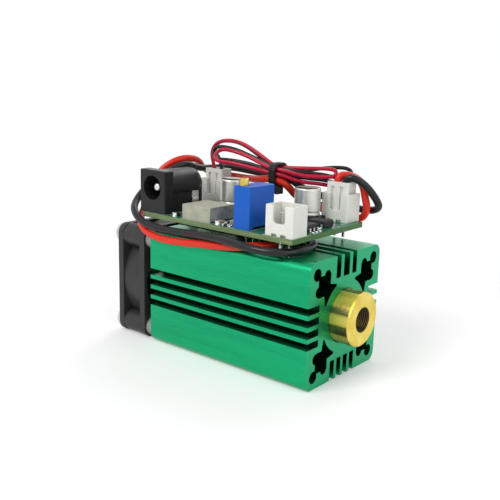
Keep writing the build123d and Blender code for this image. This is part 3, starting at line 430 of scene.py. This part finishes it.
def grained(
    name,
    colour,
    rough,
    grain_mm,
    depth_mm,
    shade=0.12,
    metal=0.0,
    coat=0.0,
    stretch=(1, 1, 1),
    gloss=0.5,
):
    """Material with grain of the given size in its colour, roughness and height."""
    m = Nodes(name)
    vector = m.stretched(stretch)
    fine = m.noise(1 / mm(grain_mm), 5, vector, 0.6)
    broad = m.noise(1 / mm(grain_mm * broad_grain_times), 3, vector)
    dark = tuple(channel * (1 - shade) for channel in colour)
    light = tuple(min(1, channel * (1 + shade)) for channel in colour)
    blend = m.math("ADD", m.math("MULTIPLY", fine, 0.5), m.math("MULTIPLY", broad, 0.5))
    m.set(Base_Color=m.mix(m.span(blend, 0.35, 0.65, 0, 1), dark, light))
    m.set(Roughness=m.span(broad, 0.3, 0.7, max(0.02, rough - 0.06), rough + 0.06))
    m.bump(fine, depth_mm, strength=0.5)
    m.set(Metallic=metal, Specular_IOR_Level=gloss)
    if coat:
        m.set(Coat_Weight=coat, Coat_Roughness=0.15)
    return m


# Anodised extrusion: drawn lines along X, and painted shade that darkens the deeper a slot or channel goes
anodised = grained(
    "green_anodised",
    (0.004, 0.375, 0.155),
    rough=0.28,
    grain_mm=0.22,
    depth_mm=0.012,
    shade=0.14,
    metal=0.78,
    stretch=(0.05, 1, 1),
)
body_half_mm = 15
axis_height_mm = 15
slot_shade_depths_mm = (0.25, 2.4)
body_y, body_z = anodised.axes()[1:]
across = anodised.math("ABSOLUTE", body_y)
upward = anodised.math("ABSOLUTE", anodised.math("SUBTRACT", body_z, mm(axis_height_mm)))
depth = anodised.math("SUBTRACT", mm(body_half_mm), anodised.math("MAXIMUM", across, upward))
# Painted shade: darker the deeper into a slot or channel, on faces that don't face along X
painted_slot_shade = anodised.math(
    "MULTIPLY",
    anodised.span(depth, *mm(*slot_shade_depths_mm), 0, 0.93),
    anodised.span(anodised.facing()[0], 0.35, 0.7, 1, 0),
)
# The slots and channels take the painted shade's near black green
anodised.set(Base_Color=anodised.mix(painted_slot_shade, anodised.colour(), (0.0, 0.02, 0.008)))

# Turned brass: fine rings, painted reflection streaks and bands on its side, and a thread in painted shade
# inside the aperture
aperture_edge_mm = (3.02, 3.12)
ring_pitch_mm = 0.1496
thread_pitch_mm = 0.5
reflection_band_pitch_mm = 4.6
reflection_band_centre_mm = 20.1
brass = Nodes("turned_brass")
brass_x, brass_y, brass_z = brass.axes()
brass_away = brass.distance(brass_y, brass_z, 0, axis_height_mm)
brass_cloud = brass.noise(260, 4, brass.stretched((0.3, 1, 1)))
rings = brass.wave(brass.math("ADD", brass_x, brass_away), ring_pitch_mm)
grooves = brass.noise(1, 3, brass.stretched((9000, 60, 60)))
thread = brass.wave(brass_x, thread_pitch_mm)
inside = brass.math(
    "MULTIPLY",
    brass.span(brass_away, *mm(*aperture_edge_mm), 1, 0),
    brass.span(brass.facing()[0], 0.4, 0.8, 1, 0),
)
bright = brass.mix(brass.span(brass_cloud, 0.35, 0.65, 0, 1), (0.7, 0.53, 0.075), (0.84, 0.68, 0.15))
# Painted reflection: streaks along X and bands by height on the side, darker towards the bottom
reflection_streaks = brass.noise(900, 4, brass.stretched((0.02, 1, 1)))
reflection_band_height = brass.math("SUBTRACT", brass_z, mm(reflection_band_centre_mm))
painted_reflection_bands = brass.math("COSINE", brass.math("MULTIPLY", reflection_band_height, 2 * math.pi / mm(reflection_band_pitch_mm)))
painted_reflection_bands = brass.math("ADD", brass.math("MULTIPLY", painted_reflection_bands, 0.34), reflection_streaks)
painted_reflection_bands = brass.math(
    "MULTIPLY",
    brass.span(painted_reflection_bands, 0.3, 0.62, 0.14, 1),
    brass.span(brass_z, mm(9), mm(axis_height_mm), 0.45, 1),
)
on_side = brass.span(brass.facing()[0], 0.3, 0.6, 1, 0)
# The side takes the painted reflection bands over the brass colour
bright = brass.mix(on_side, bright, brass.mix(painted_reflection_bands, (0.1, 0.085, 0.045), bright))
# Painted shade: the thread inside the aperture, nearly black with lighter crests
painted_thread_shade = brass.mix(brass.span(thread, -0.6, 0.8, 0, 1), (0.02, 0.015, 0.006), (0.16, 0.12, 0.04))
less_metal = brass.math("MULTIPLY", on_side, brass.span(painted_reflection_bands, 0.2, 0.9, 0.1, 0.6))
brass.set(
    Base_Color=brass.mix(inside, bright, painted_thread_shade),
    Metallic=brass.math("SUBTRACT", 1, less_metal),
    Roughness=brass.span(brass.math("ADD", grooves, brass_cloud), 0.6, 1.4, 0.2, 0.34),
    Anisotropic=0.8,
    Anisotropic_Rotation=0.25,
)
around = brass.add("ShaderNodeTangent", direction_type="RADIAL", axis="X")
brass.join(around.outputs["Tangent"], brass.shader.inputs["Tangent"])
brass.bump(rings, 0.004, strength=0.3)
brass.bump(brass.math("MULTIPLY", thread, inside), 0.12)

# Plain metals and plastics
plain_brass = grained(
    "plain_brass", (0.68, 0.5, 0.14), rough=0.26, grain_mm=0.15, depth_mm=0.01, shade=0.1, metal=1.0
)
gold = grained(
    "gold_plate", (0.75, 0.56, 0.22), rough=0.2, grain_mm=0.1, depth_mm=0.005, shade=0.06, metal=1.0
)
black_steel = grained(
    "blackened_steel", (0.03, 0.03, 0.032), rough=0.35, grain_mm=0.1, depth_mm=0.01, shade=0.2, metal=0.8
)
fan_plastic = grained(
    "fan_plastic", (0.034, 0.034, 0.035), rough=0.42, grain_mm=0.12, depth_mm=0.02, shade=0.15, gloss=0.25
)
spacer_plastic = grained(
    "spacer_plastic", (0.28, 0.28, 0.285), rough=0.45, grain_mm=0.2, depth_mm=0.02, shade=0.1
)
bronze = grained(
    "sintered_bronze", (0.42, 0.28, 0.14), rough=0.45, grain_mm=0.08, depth_mm=0.02, shade=0.2, metal=0.9
)
stator_steel = grained(
    "stator_sheets",
    (0.3, 0.3, 0.31),
    rough=0.4,
    grain_mm=0.35,
    depth_mm=0.03,
    shade=0.2,
    metal=0.9,
    stretch=(8, 0.2, 0.2),
)
bright_screw = grained(
    "bright_screw", (0.62, 0.6, 0.55), rough=0.28, grain_mm=0.12, depth_mm=0.01, shade=0.1, metal=1.0
)
jack_plastic = grained(
    "jack_plastic", (0.015, 0.015, 0.016), rough=0.3, grain_mm=0.3, depth_mm=0.015, shade=0.12, gloss=0.25
)
tinned = grained(
    "tinned_metal", (0.78, 0.78, 0.77), rough=0.26, grain_mm=0.3, depth_mm=0.006, shade=0.08, metal=0.9
)
ferrite = grained("ferrite_core", (0.4, 0.4, 0.36), rough=0.6, grain_mm=0.16, depth_mm=0.03, shade=0.45)
cover = grained("inductor_cover", (0.37, 0.375, 0.29), rough=0.5, grain_mm=0.16, depth_mm=0.03, shade=0.2)
trimmer_blue = grained(
    "trimmer_plastic", (0.004, 0.105, 0.53), rough=0.36, grain_mm=0.2, depth_mm=0.012, shade=0.07, gloss=0.25
)
nylon = grained("natural_nylon", (0.77, 0.775, 0.72), rough=0.42, grain_mm=0.4, depth_mm=0.012, shade=0.05)
nylon.set(Subsurface_Weight=0.12, Subsurface_Scale=mm(0.8))
can_metal = grained(
    "can_aluminium",
    (0.66, 0.655, 0.61),
    rough=0.38,
    grain_mm=0.2,
    depth_mm=0.01,
    shade=0.08,
    metal=0.85,
    stretch=(1, 1, 6),
)

# Dark segments on the cans' tops
can_x, can_y, can_z = can_metal.axes()
front_can_mm = (8.2, 7.1)
rear_can_mm = (-14.4, 4.9)
between_cans_mm = (-4, -3)
can_top_mm = (42, 42.1)
chord_mm = (0.6, 0.65)
chord_slant = (0.2, 0.98)
at_front = can_metal.span(can_x, *mm(*between_cans_mm), 0, 1)
at_rear = can_metal.math("SUBTRACT", 1, at_front)


def segment(centre_mm):
    """One beyond a chord of a can's top, on its near side."""
    parts = []
    for value, middle_mm, share in zip((can_x, can_y), centre_mm, chord_slant):
        off = can_metal.math("SUBTRACT", value, mm(middle_mm))
        parts.append(can_metal.math("MULTIPLY", off, share))
    return can_metal.span(can_metal.math("SUBTRACT", *parts), *mm(*chord_mm), 0, 1)


marked = can_metal.math(
    "ADD",
    can_metal.math("MULTIPLY", segment(front_can_mm), at_front),
    can_metal.math("MULTIPLY", segment(rear_can_mm), at_rear),
)
top_only = can_metal.math(
    "MULTIPLY",
    can_metal.span(can_z, *mm(*can_top_mm), 0, 1),
    can_metal.span(can_metal.facing()[2], 0.85, 0.9, 0, 1),
)
marked = can_metal.math("MULTIPLY", marked, top_only)
can_metal.set(
    Base_Color=can_metal.mix(marked, can_metal.colour(), (0.012, 0.012, 0.012)),
    Metallic=can_metal.span(marked, 0, 1, 0.85, 0),
    Roughness=can_metal.span(marked, 0, 1, 0.36, 0.95),
)

# Chips, leads, tie and lens
base_plastic = grained(
    "base_plastic", (0.02, 0.02, 0.021), rough=0.42, grain_mm=0.1, depth_mm=0.015, shade=0.15, gloss=0.25
)
package = grained(
    "package_plastic", (0.022, 0.022, 0.024), rough=0.5, grain_mm=0.07, depth_mm=0.02, shade=0.25, gloss=0.25
)
chip_x, chip_y = package.axes()[:2]
dot_place_mm = (12.9, 2.1)
dot_edge_mm = (0.3, 0.36)
dot = package.span(package.distance(chip_x, chip_y, *dot_place_mm), *mm(*dot_edge_mm), 1, 0)
package.bump(package.math("MULTIPLY", dot, -1), 0.05)
resistor_glaze = grained(
    "resistor_glaze", (0.015, 0.015, 0.017), rough=0.25, grain_mm=0.1, depth_mm=0.005, shade=0.2
)
ceramic = grained(
    "capacitor_ceramic", (0.36, 0.27, 0.17), rough=0.45, grain_mm=0.1, depth_mm=0.01, shade=0.12
)
dark_ceramics_mm = (-15, -14)
by_jack = ceramic.span(ceramic.axes()[0], *mm(*dark_ceramics_mm), 1, 0)
ceramic.set(Base_Color=ceramic.mix(by_jack, ceramic.colour(), (0.02, 0.02, 0.022)))
wire_red = grained(
    "wire_red",
    (0.7, 0.024, 0.008),
    rough=0.34,
    grain_mm=0.6,
    depth_mm=0.02,
    shade=0.06,
    coat=0.15,
    gloss=0.25,
)
wire_black = grained(
    "wire_black",
    (0.01, 0.01, 0.011),
    rough=0.3,
    grain_mm=0.6,
    depth_mm=0.02,
    shade=0.15,
    coat=0.15,
    gloss=0.25,
)
wire_crimson = grained(
    "wire_crimson",
    (0.48, 0.002, 0.034),
    rough=0.33,
    grain_mm=0.5,
    depth_mm=0.015,
    shade=0.06,
    coat=0.15,
    gloss=0.25,
)
tie_nylon = grained(
    "tie_nylon", (0.009, 0.009, 0.01), rough=0.36, grain_mm=0.3, depth_mm=0.02, shade=0.15, gloss=0.25
)
tooth_pitch_mm = 0.6981
tie_y, tie_z = tie_nylon.axes()[1:]
teeth = tie_nylon.wave(tie_nylon.math("ADD", tie_y, tie_z), tooth_pitch_mm)
tie_nylon.bump(teeth, 0.05, strength=0.5)
glass = Nodes("lens_glass")
glass.set(
    Base_Color=(0.9, 0.95, 0.97),
    Roughness=glass.span(glass.noise(900, 3), 0.3, 0.7, 0.01, 0.05),
    IOR=1.52,
    Transmission_Weight=0.9,
)

# Board: solder mask with a fine weave on its two faces, bare laminate on its edges, and painted shade on its
# short edges
board = Nodes("board_laminate")
flat = board.span(board.facing()[2], 0.6, 0.9, 0, 1)
fibre = board.noise(1, 4, board.stretched((2500, 2500, 9000)))
layers = board.noise(1, 3, board.stretched((160, 160, 6000)))
edge_blend = board.math("ADD", board.math("MULTIPLY", fibre, 0.5), board.math("MULTIPLY", layers, 0.5))
edge_colour = board.mix(board.span(edge_blend, 0.38, 0.62, 0, 1), (0.09, 0.16, 0.06), (0.21, 0.27, 0.12))
# Painted shade: the short edges, facing along X, are darker
painted_shade_short_edges = board.span(board.facing()[0], 0.6, 0.9, 0, 1)
edge_colour = board.mix(painted_shade_short_edges, edge_colour, (0.055, 0.15, 0.035))
weave = board.add("ShaderNodeTexChecker")
weave.inputs["Scale"].default_value = 2400
board.join(board.stretched((1, 1, 0)), weave.inputs["Vector"])
cloud = board.noise(220, 4)
mask_colour = board.mix(board.span(cloud, 0.35, 0.65, 0, 1), (0.004, 0.1, 0.042), (0.008, 0.15, 0.065))
board.set(
    Base_Color=board.mix(flat, edge_colour, mask_colour),
    Roughness=board.span(board.math("ADD", flat, cloud), 0.4, 1.6, 0.62, 0.24),
)
board.bump(weave.outputs["Fac"], 0.004, strength=0.4)
track_mask = grained(
    "mask_over_copper", (0.012, 0.24, 0.11), rough=0.22, grain_mm=0.15, depth_mm=0.008, shade=0.1, coat=0.3
)
print_ink = grained("white_print", (0.7, 0.72, 0.68), rough=0.5, grain_mm=0.06, depth_mm=0.01, shade=0.12)
solder = grained("solder", (0.68, 0.69, 0.7), rough=0.16, grain_mm=0.12, depth_mm=0.02, shade=0.08, metal=1.0)

# Each CAD node's finish, and the width of its worn edges in millimetres
finishes = {
    "heatsink": (anodised, 0.12),
    "laser_barrel": (brass, 0.08),
    "lens_cell": (plain_brass, 0.05),
    "collimating_lens": (glass, 0),
    "laser_diode": (gold, 0.03),
    "diode_retainer": (plain_brass, 0.05),
    "barrel_set_screw": (black_steel, 0.04),
    "fan_frame": (fan_plastic, 0.12),
    "fan_rotor": (fan_plastic, 0.06),
    "fan_bush": (bronze, 0.04),
    "fan_stator": (stator_steel, 0.04),
    "fan_spacers": (spacer_plastic, 0.08),
    "fan_screws": (bright_screw, 0.05),
    "circuit_board": (board, 0.05),
    "jack_housing": (jack_plastic, 0.08),
    "jack_pin": (tinned, 0.05),
    "jack_leaf": (tinned, 0.04),
    "inductor_core": (ferrite, 0.06),
    "inductor_cover": (cover, 0.06),
    "trimmer_body": (trimmer_blue, 0.06),
    "trimmer_screw": (plain_brass, 0.04),
    "trimmer_pins": (tinned, 0.04),
    "modulation_header": (nylon, 0.08),
    "laser_header": (nylon, 0.08),
    "fan_header": (nylon, 0.08),
    "laser_plug": (nylon, 0.08),
    "fan_plug": (nylon, 0.08),
    "modulation_header_pins": (tinned, 0.04),
    "laser_header_pins": (tinned, 0.04),
    "fan_header_pins": (tinned, 0.04),
    "capacitor_cans": (can_metal, 0.06),
    "capacitor_bases": (base_plastic, 0.06),
    "driver_chip": (package, 0.03),
    "driver_chip_leads": (tinned, 0.03),
    "power_transistor": (package, 0.03),
    "power_transistor_leads": (tinned, 0.03),
    "chip_resistors": (resistor_glaze, 0.03),
    "chip_ceramics": (ceramic, 0.04),
    "chip_end_caps": (tinned, 0.03),
    "cable_tie": (tie_nylon, 0.1),
}


def paint(piece, finish):
    """The piece takes one finish in all its material slots."""
    piece.data.materials.clear()
    piece.data.materials.append(finish.material)


def soften(piece, width_mm):
    """Worn edges of the given width, if any, with even shading on the faces between them."""
    if width_mm:
        weld = piece.modifiers.new("weld", "WELD")
        weld.merge_threshold = mm(0.001)
        bevel = piece.modifiers.new("bevel", "BEVEL")
        bevel.width = mm(width_mm)
        bevel.segments = 2
        bevel.limit_method = "ANGLE"
        bevel.angle_limit = math.radians(40)
        bevel.miter_outer = "MITER_ARC"
    normals = piece.modifiers.new("normals", "WEIGHTED_NORMAL")
    normals.keep_sharp = True


for name, (finish, width_mm) in finishes.items():
    paint(nodes[name], finish)
    soften(nodes[name], width_mm)
for lead, finish in (
    (laser_red, wire_red),
    (laser_black, wire_black),
    (fan_red, wire_crimson),
    (fan_black, wire_black),
):
    lead.data.materials.append(finish.material)

# Small things on the board, in millimetres: tracks, printed outlines and solder
board_top_mm = 34.4
board_bottom_mm = 33.2
sunk_mm = 0.02
track_height_mm = 0.025
print_height_mm = 0.02


def new_piece(name, work, finish):
    """Object from a bmesh in millimetres, with its finish, riding on the module."""
    mesh = bpy.data.meshes.new(name)
    bmesh.ops.recalc_face_normals(work, faces=work.faces)
    bmesh.ops.scale(work, vec=(mm(1), mm(1), mm(1)), verts=work.verts)
    work.to_mesh(mesh)
    work.free()
    piece = bpy.data.objects.new(name, mesh)
    piece.data.materials.append(finish.material)
    bpy.context.scene.collection.objects.link(piece)
    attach(piece, "module")
    return piece


def add_ribbon(work, points, width, low, high, closed=False):
    """Flat strip along a line of points, with mitred corners."""
    points = [Vector(point) for point in points]
    count = len(points)
    corners = ((1, low), (1, high), (-1, high), (-1, low))
    rims = []
    for number, point in enumerate(points):
        before = points[number - 1] if number or closed else None
        after = points[(number + 1) % count] if number < count - 1 or closed else None
        one = (point - before).normalized() if before is not None else (after - point).normalized()
        two = (after - point).normalized() if after is not None else one
        middle = (one + two).normalized()
        side = Vector((-middle.y, middle.x)) * (width / 2 / max(0.4, middle.dot(one)))
        rims.append([work.verts.new((*(point + sign * side), z)) for sign, z in corners])
    for number in range(count if closed else count - 1):
        here, there = rims[number], rims[(number + 1) % count]
        for k in range(4):
            after = (k + 1) % 4
            work.faces.new((here[k], here[after], there[after], there[k]))
    if not closed:
        work.faces.new(rims[0])
        work.faces.new(rims[-1])


def add_turned(work, x, y, outline, sides=16, spread=(1, 1)):
    """Round form about an upright axis, from pairs of radius and height."""
    rings = []
    for radius, height in outline:
        if radius == 0:
            rings.append([work.verts.new((x, y, height))])
            continue
        rings.append([
            work.verts.new((
                x + radius * spread[0] * math.cos(2 * math.pi * k / sides),
                y + radius * spread[1] * math.sin(2 * math.pi * k / sides),
                height,
            ))
            for k in range(sides)
        ])
    for low, high in zip(rings, rings[1:]):
        for k in range(sides):
            after = k + 1
            corners = (low[k % len(low)], low[after % len(low)], high[after % len(high)], high[k % len(high)])
            corners = list(dict.fromkeys(corners))
            if len(corners) > 2:
                work.faces.new(corners)
    for ring in (rings[0], rings[-1]):
        if len(ring) > 2:
            work.faces.new(ring)


# Tracks on the board's top, then on its underside: a line of points and a width
tracks = bmesh.new()
for points, width in (
    ([(18.9, 6.5), (18.9, 1.2), (18.2, 0.5), (17.6, 0.5)], 0.4),
    ([(16.66, 0.3), (16.66, -0.2), (18.2, -1.7), (18.2, -7.6)], 0.35),
    ([(15.39, 0.3), (15.39, -0.4)], 0.4),
    ([(18.7, 8.2), (19.1, 7.8), (19.1, 2.0)], 0.25),
    ([(17.6, 7.4), (17.6, 9.9)], 0.8),
    ([(12.0, 7.2), (12.0, 9.9)], 0.8),
    ([(9.6, -13.9), (1.2, -13.9), (0.4, -13.4)], 0.5),
    ([(9.9, -12.9), (7.4, -12.9)], 0.7),
    ([(10.6, -6.6), (9.0, -6.6), (9.0, -5.6)], 0.35),
    ([(11.0, -3.0), (12.8, -3.0)], 0.3),
    ([(-2.9, -11.8), (-2.9, -11.4)], 1.0),
    ([(-4.6, -4.2), (-2.2, -4.2), (0.8, -1.8), (6.8, -1.8)], 0.4),
    ([(-4.6, -3.4), (-2.4, -3.4), (0.4, -0.4), (4.2, -0.4), (5.0, 0.4), (7.6, 0.4)], 0.3),
    ([(-15.0, -13.9), (-19.2, -13.9)], 0.9),
    ([(-15.2, -4.4), (-15.2, -1.0), (-11.0, 0.6)], 0.8),
    ([(-10.6, 2.0), (-4.0, 2.0), (-1.0, 5.0), (4.4, 5.0)], 0.5),
    ([(-10.6, 6.4), (-2.0, 6.4), (0.0, 8.4), (4.4, 8.4)], 0.3),
    ([(-10.6, 7.2), (-2.4, 7.2), (-0.2, 9.4), (4.4, 9.4)], 0.3),
    ([(-18.6, 14.2), (9.4, 14.2)], 1.0),
    ([(-26.9, 14.2), (-28.0, 13.4), (-28.0, 1.0)], 0.5),
):
    add_ribbon(tracks, points, width, board_top_mm - sunk_mm, board_top_mm + track_height_mm)
for points, width in (
    ([(16.67, -12.0), (14.0, -6.0), (6.0, -6.0), (4.34, -7.7)], 0.6),
    ([(14.13, -12.0), (12.0, -9.2), (-8.0, -9.2), (-14.0, -3.0), (-24.9, -3.0)], 0.6),
    ([(15.27, 13.38), (12.0, 9.0), (-10.0, 9.0), (-16.0, 3.0), (-16.0, -2.0)], 0.6),
    ([(-22.4, 9.48), (-14.0, 9.48), (-9.0, 12.0), (12.7, 12.0)], 0.5),
):
    add_ribbon(tracks, points, width, board_bottom_mm - track_height_mm, board_bottom_mm + sunk_mm)
new_piece("board_tracks", tracks, track_mask)


def print_box(work, x_low, x_high, y_low, y_high, width):
    """Printed outline of a rectangle on the board's top."""
    outline = [(x_low, y_low), (x_high, y_low), (x_high, y_high), (x_low, y_high)]
    add_ribbon(work, outline, width, board_top_mm, board_top_mm + print_height_mm, closed=True)


ink = bmesh.new()
for limits in (
    (1.7, 7.0, -14.1, -4.4),
    (11.2, 19.4, -14.35, -8.2),
    (4.6, 11.7, 3.5, 10.7),
    (-18.0, -10.8, 1.3, 8.5),
    (-27.9, -19.5, 6.3, 12.65),
    (-29.0, -20.1, -14.2, 0.1),
    (-14.7, -4.9, -14.3, -4.8),
):
    print_box(ink, *limits, width=0.16)
chip_box_x_mm, chip_box_y_mm = 0.85, 1.4
for x, y in ((-2.9, -10.2), (9.0, -4.2), (9.0, -1.2), (9.0, 1.8)):
    limits = (x - chip_box_x_mm, x + chip_box_x_mm, y - chip_box_y_mm, y + chip_box_y_mm)
    print_box(ink, *limits, width=0.14)
new_piece("board_print", ink, print_ink)


# Solder: cones round the pins below the board, tinned rings round the holes, fillets at the chips
def raised(outline, base_mm):
    """Pairs of radius and height, with the heights counted from a base."""
    return [(radius, base_mm + height) for radius, height in outline]


pins = [
    (14.13, -11.325), (16.67, -11.325), (12.73, 13.375), (15.27, 13.375), (-24.97, 9.475), (-22.43, 9.475),
    (4.35, -9.25), (4.35, -11.79), (4.35, -6.71),
]
holes = [
    (17.9, 4.6), (18.6, 5.5), (18.3, 3.4), (18.9, -4.6), (10.6, -7.4),
    (-0.6, -3.9), (-3.9, 0.6), (1.6, 3.4), (-19.0, 10.9), (-8.6, -2.6),
]
cone = raised(
    [(0.85, 0), (0.84, -0.08), (0.62, -0.3), (0.48, -0.7), (0.42, -1.15), (0.3, -1.3), (0, -1.33)],
    board_bottom_mm,
)
ring = raised([(0.16, -0.02), (0.16, 0.03), (0.34, 0.03), (0.36, -0.02), (0.16, -0.02)], board_top_mm)
lead_pad = raised([(0, -0.02), (0.5, -0.02), (0.46, 0.05), (0.3, 0.17), (0, 0.24)], board_top_mm)
joints = bmesh.new()
for x, y in pins:
    add_turned(joints, x, y, cone)
for x, y in holes:
    add_turned(joints, x, y, ring, sides=14)
# The driver chip's eight leads, in rows along X
chip_first_x_mm, chip_y_mm = 12.845, 3.45
chip_pitch_mm, chip_reach_mm, chip_toe_mm = 1.27, 2.75, 0.28
for number in range(4):
    for side in (-1, 1):
        x, y = chip_first_x_mm + chip_pitch_mm * number, chip_y_mm + side * chip_reach_mm
        add_turned(joints, x, y + side * chip_toe_mm, lead_pad, sides=12, spread=(0.66, 1.15))
# The smaller package's six leads, in rows along Y
package_x_mm, package_y_mm = 15.95, -3.35
package_pitch_mm, package_reach_mm, package_toe_mm = 1.5, 2.1, 0.2
for number in range(3):
    for side in (-1, 1):
        x, y = package_x_mm + side * package_reach_mm, package_y_mm + package_pitch_mm * (number - 1)
        add_turned(joints, x + side * package_toe_mm, y, lead_pad, sides=12, spread=(1.1, 0.8))
# Two-ended chips: place, whether they lie along Y, and height
chips = [
    (-2.907, -10.2, True, 0.55), (-0.598, -13.1, False, 0.55), (8.996, -4.2, True, 0.55),
    (8.996, -1.2, True, 0.55), (8.996, 1.8, True, 0.55), (-17.408, -12.9, True, 1.0),
    (-2.907, -13.1, True, 1.0), (-0.598, -10.4, False, 1.0), (-0.598, -1.6, False, 1.0),
]
chip_end_mm = 1.12
for x, y, along_y, height in chips:
    fillet = raised(
        [(0, -0.02), (0.5, -0.02), (0.47, 0.08), (0.34, height * 0.45), (0, height * 0.7)], board_top_mm
    )
    for side in (-1, 1):
        out = chip_end_mm * side
        if along_y:
            add_turned(joints, x, y + out, fillet, sides=14, spread=(1.25, 0.62))
        else:
            add_turned(joints, x + out, y, fillet, sides=14, spread=(0.62, 1.25))
board_solder = new_piece("board_solder", joints, solder)
for polygon in board_solder.data.polygons:
    polygon.use_smooth = True


# Floor, background and light
def seen_rays(tree):
    """One where a ray comes from the camera, from metal or through glass."""
    rays = tree.nodes.new("ShaderNodeLightPath")
    total = rays.outputs["Is Camera Ray"]
    for kind in ("Is Glossy Ray", "Is Transmission Ray"):
        either = tree.nodes.new("ShaderNodeMath")
        either.operation = "MAXIMUM"
        tree.links.new(total, either.inputs[0])
        tree.links.new(rays.outputs[kind], either.inputs[1])
        total = either.outputs[0]
    return total


reach = 3
floor_mesh = bpy.data.meshes.new("floor")
floor_corners = [(-reach, -reach, 0), (reach, -reach, 0), (reach, reach, 0), (-reach, reach, 0)]
floor_mesh.from_pydata(floor_corners, [], [(0, 1, 2, 3)])
floor = bpy.data.objects.new("floor", floor_mesh)
bpy.context.scene.collection.objects.link(floor)
floor.location.z = -mm(0.02)
ground = Nodes("floor")
ground_cloud = ground.span(ground.noise(30, 3), 0.3, 0.7, 0, 1)
ground.set(Base_Color=ground.mix(ground_cloud, (0.9, 0.9, 0.9), (0.93, 0.93, 0.93)), Roughness=0.7)
# The camera, metal and glass see the floor a little lifted. Further off it is plain white
lift = ground.add("ShaderNodeEmission")
ground.join(ground.math("MULTIPLY", seen_rays(ground.tree), 0.2), lift.inputs["Strength"])
near = ground.add("ShaderNodeAddShader")
ground.join(ground.shader.outputs["BSDF"], near.inputs[0])
ground.join(lift.outputs["Emission"], near.inputs[1])
white = ground.add("ShaderNodeEmission")
whole = ground.add("ShaderNodeMixShader")
floor_centre_mm = (-5, 0)
white_from_mm = (50, 110)
ground_x, ground_y = ground.axes()[:2]
away = ground.distance(ground_x, ground_y, *floor_centre_mm)
ground.join(ground.span(away, *mm(*white_from_mm), 0, 1), whole.inputs["Fac"])
ground.join(near.outputs["Shader"], whole.inputs[1])
ground.join(white.outputs["Emission"], whole.inputs[2])
ground.join(whole.outputs["Shader"], ground.tree.nodes["Material Output"].inputs["Surface"])
floor.data.materials.append(ground.material)

# The world is white to look at, and lights the scene with half of that
seen_strength = 1.0
light_strength = 0.5
world = bpy.data.worlds.new("studio")
bpy.context.scene.world = world
world.use_nodes = True
tree = world.node_tree
tree.nodes.clear()
output = tree.nodes.new("ShaderNodeOutputWorld")
choose = tree.nodes.new("ShaderNodeMixShader")
tree.links.new(seen_rays(tree), choose.inputs["Fac"])
for socket, strength in ((choose.inputs[1], light_strength), (choose.inputs[2], seen_strength)):
    background = tree.nodes.new("ShaderNodeBackground")
    background.inputs["Color"].default_value = (1, 1, 1, 1)
    background.inputs["Strength"].default_value = strength
    tree.links.new(background.outputs[0], socket)
tree.links.new(choose.outputs[0], output.inputs["Surface"])


def add_light(name, place, target, size, power):
    """Square area lamp at a place, aimed at a target."""
    data = bpy.data.lights.new(name, "AREA")
    data.shape = "SQUARE"
    data.size = size
    data.energy = power
    lamp = bpy.data.objects.new(name, data)
    lamp.location = place
    lamp.rotation_euler = (Vector(target) - Vector(place)).to_track_quat("-Z", "Y").to_euler()
    bpy.context.scene.collection.objects.link(lamp)


middle = mm(0, 0, 25)
add_light("key", (-0.15, -0.55, 0.5), middle, size=0.35, power=2.6)
add_light("fill", (0.6, -0.1, 0.3), middle, size=0.5, power=0.8)
add_light("rim", (-0.1, 0.5, 0.5), middle, size=0.4, power=1.0)

bpy.context.scene.view_settings.view_transform = "Standard"
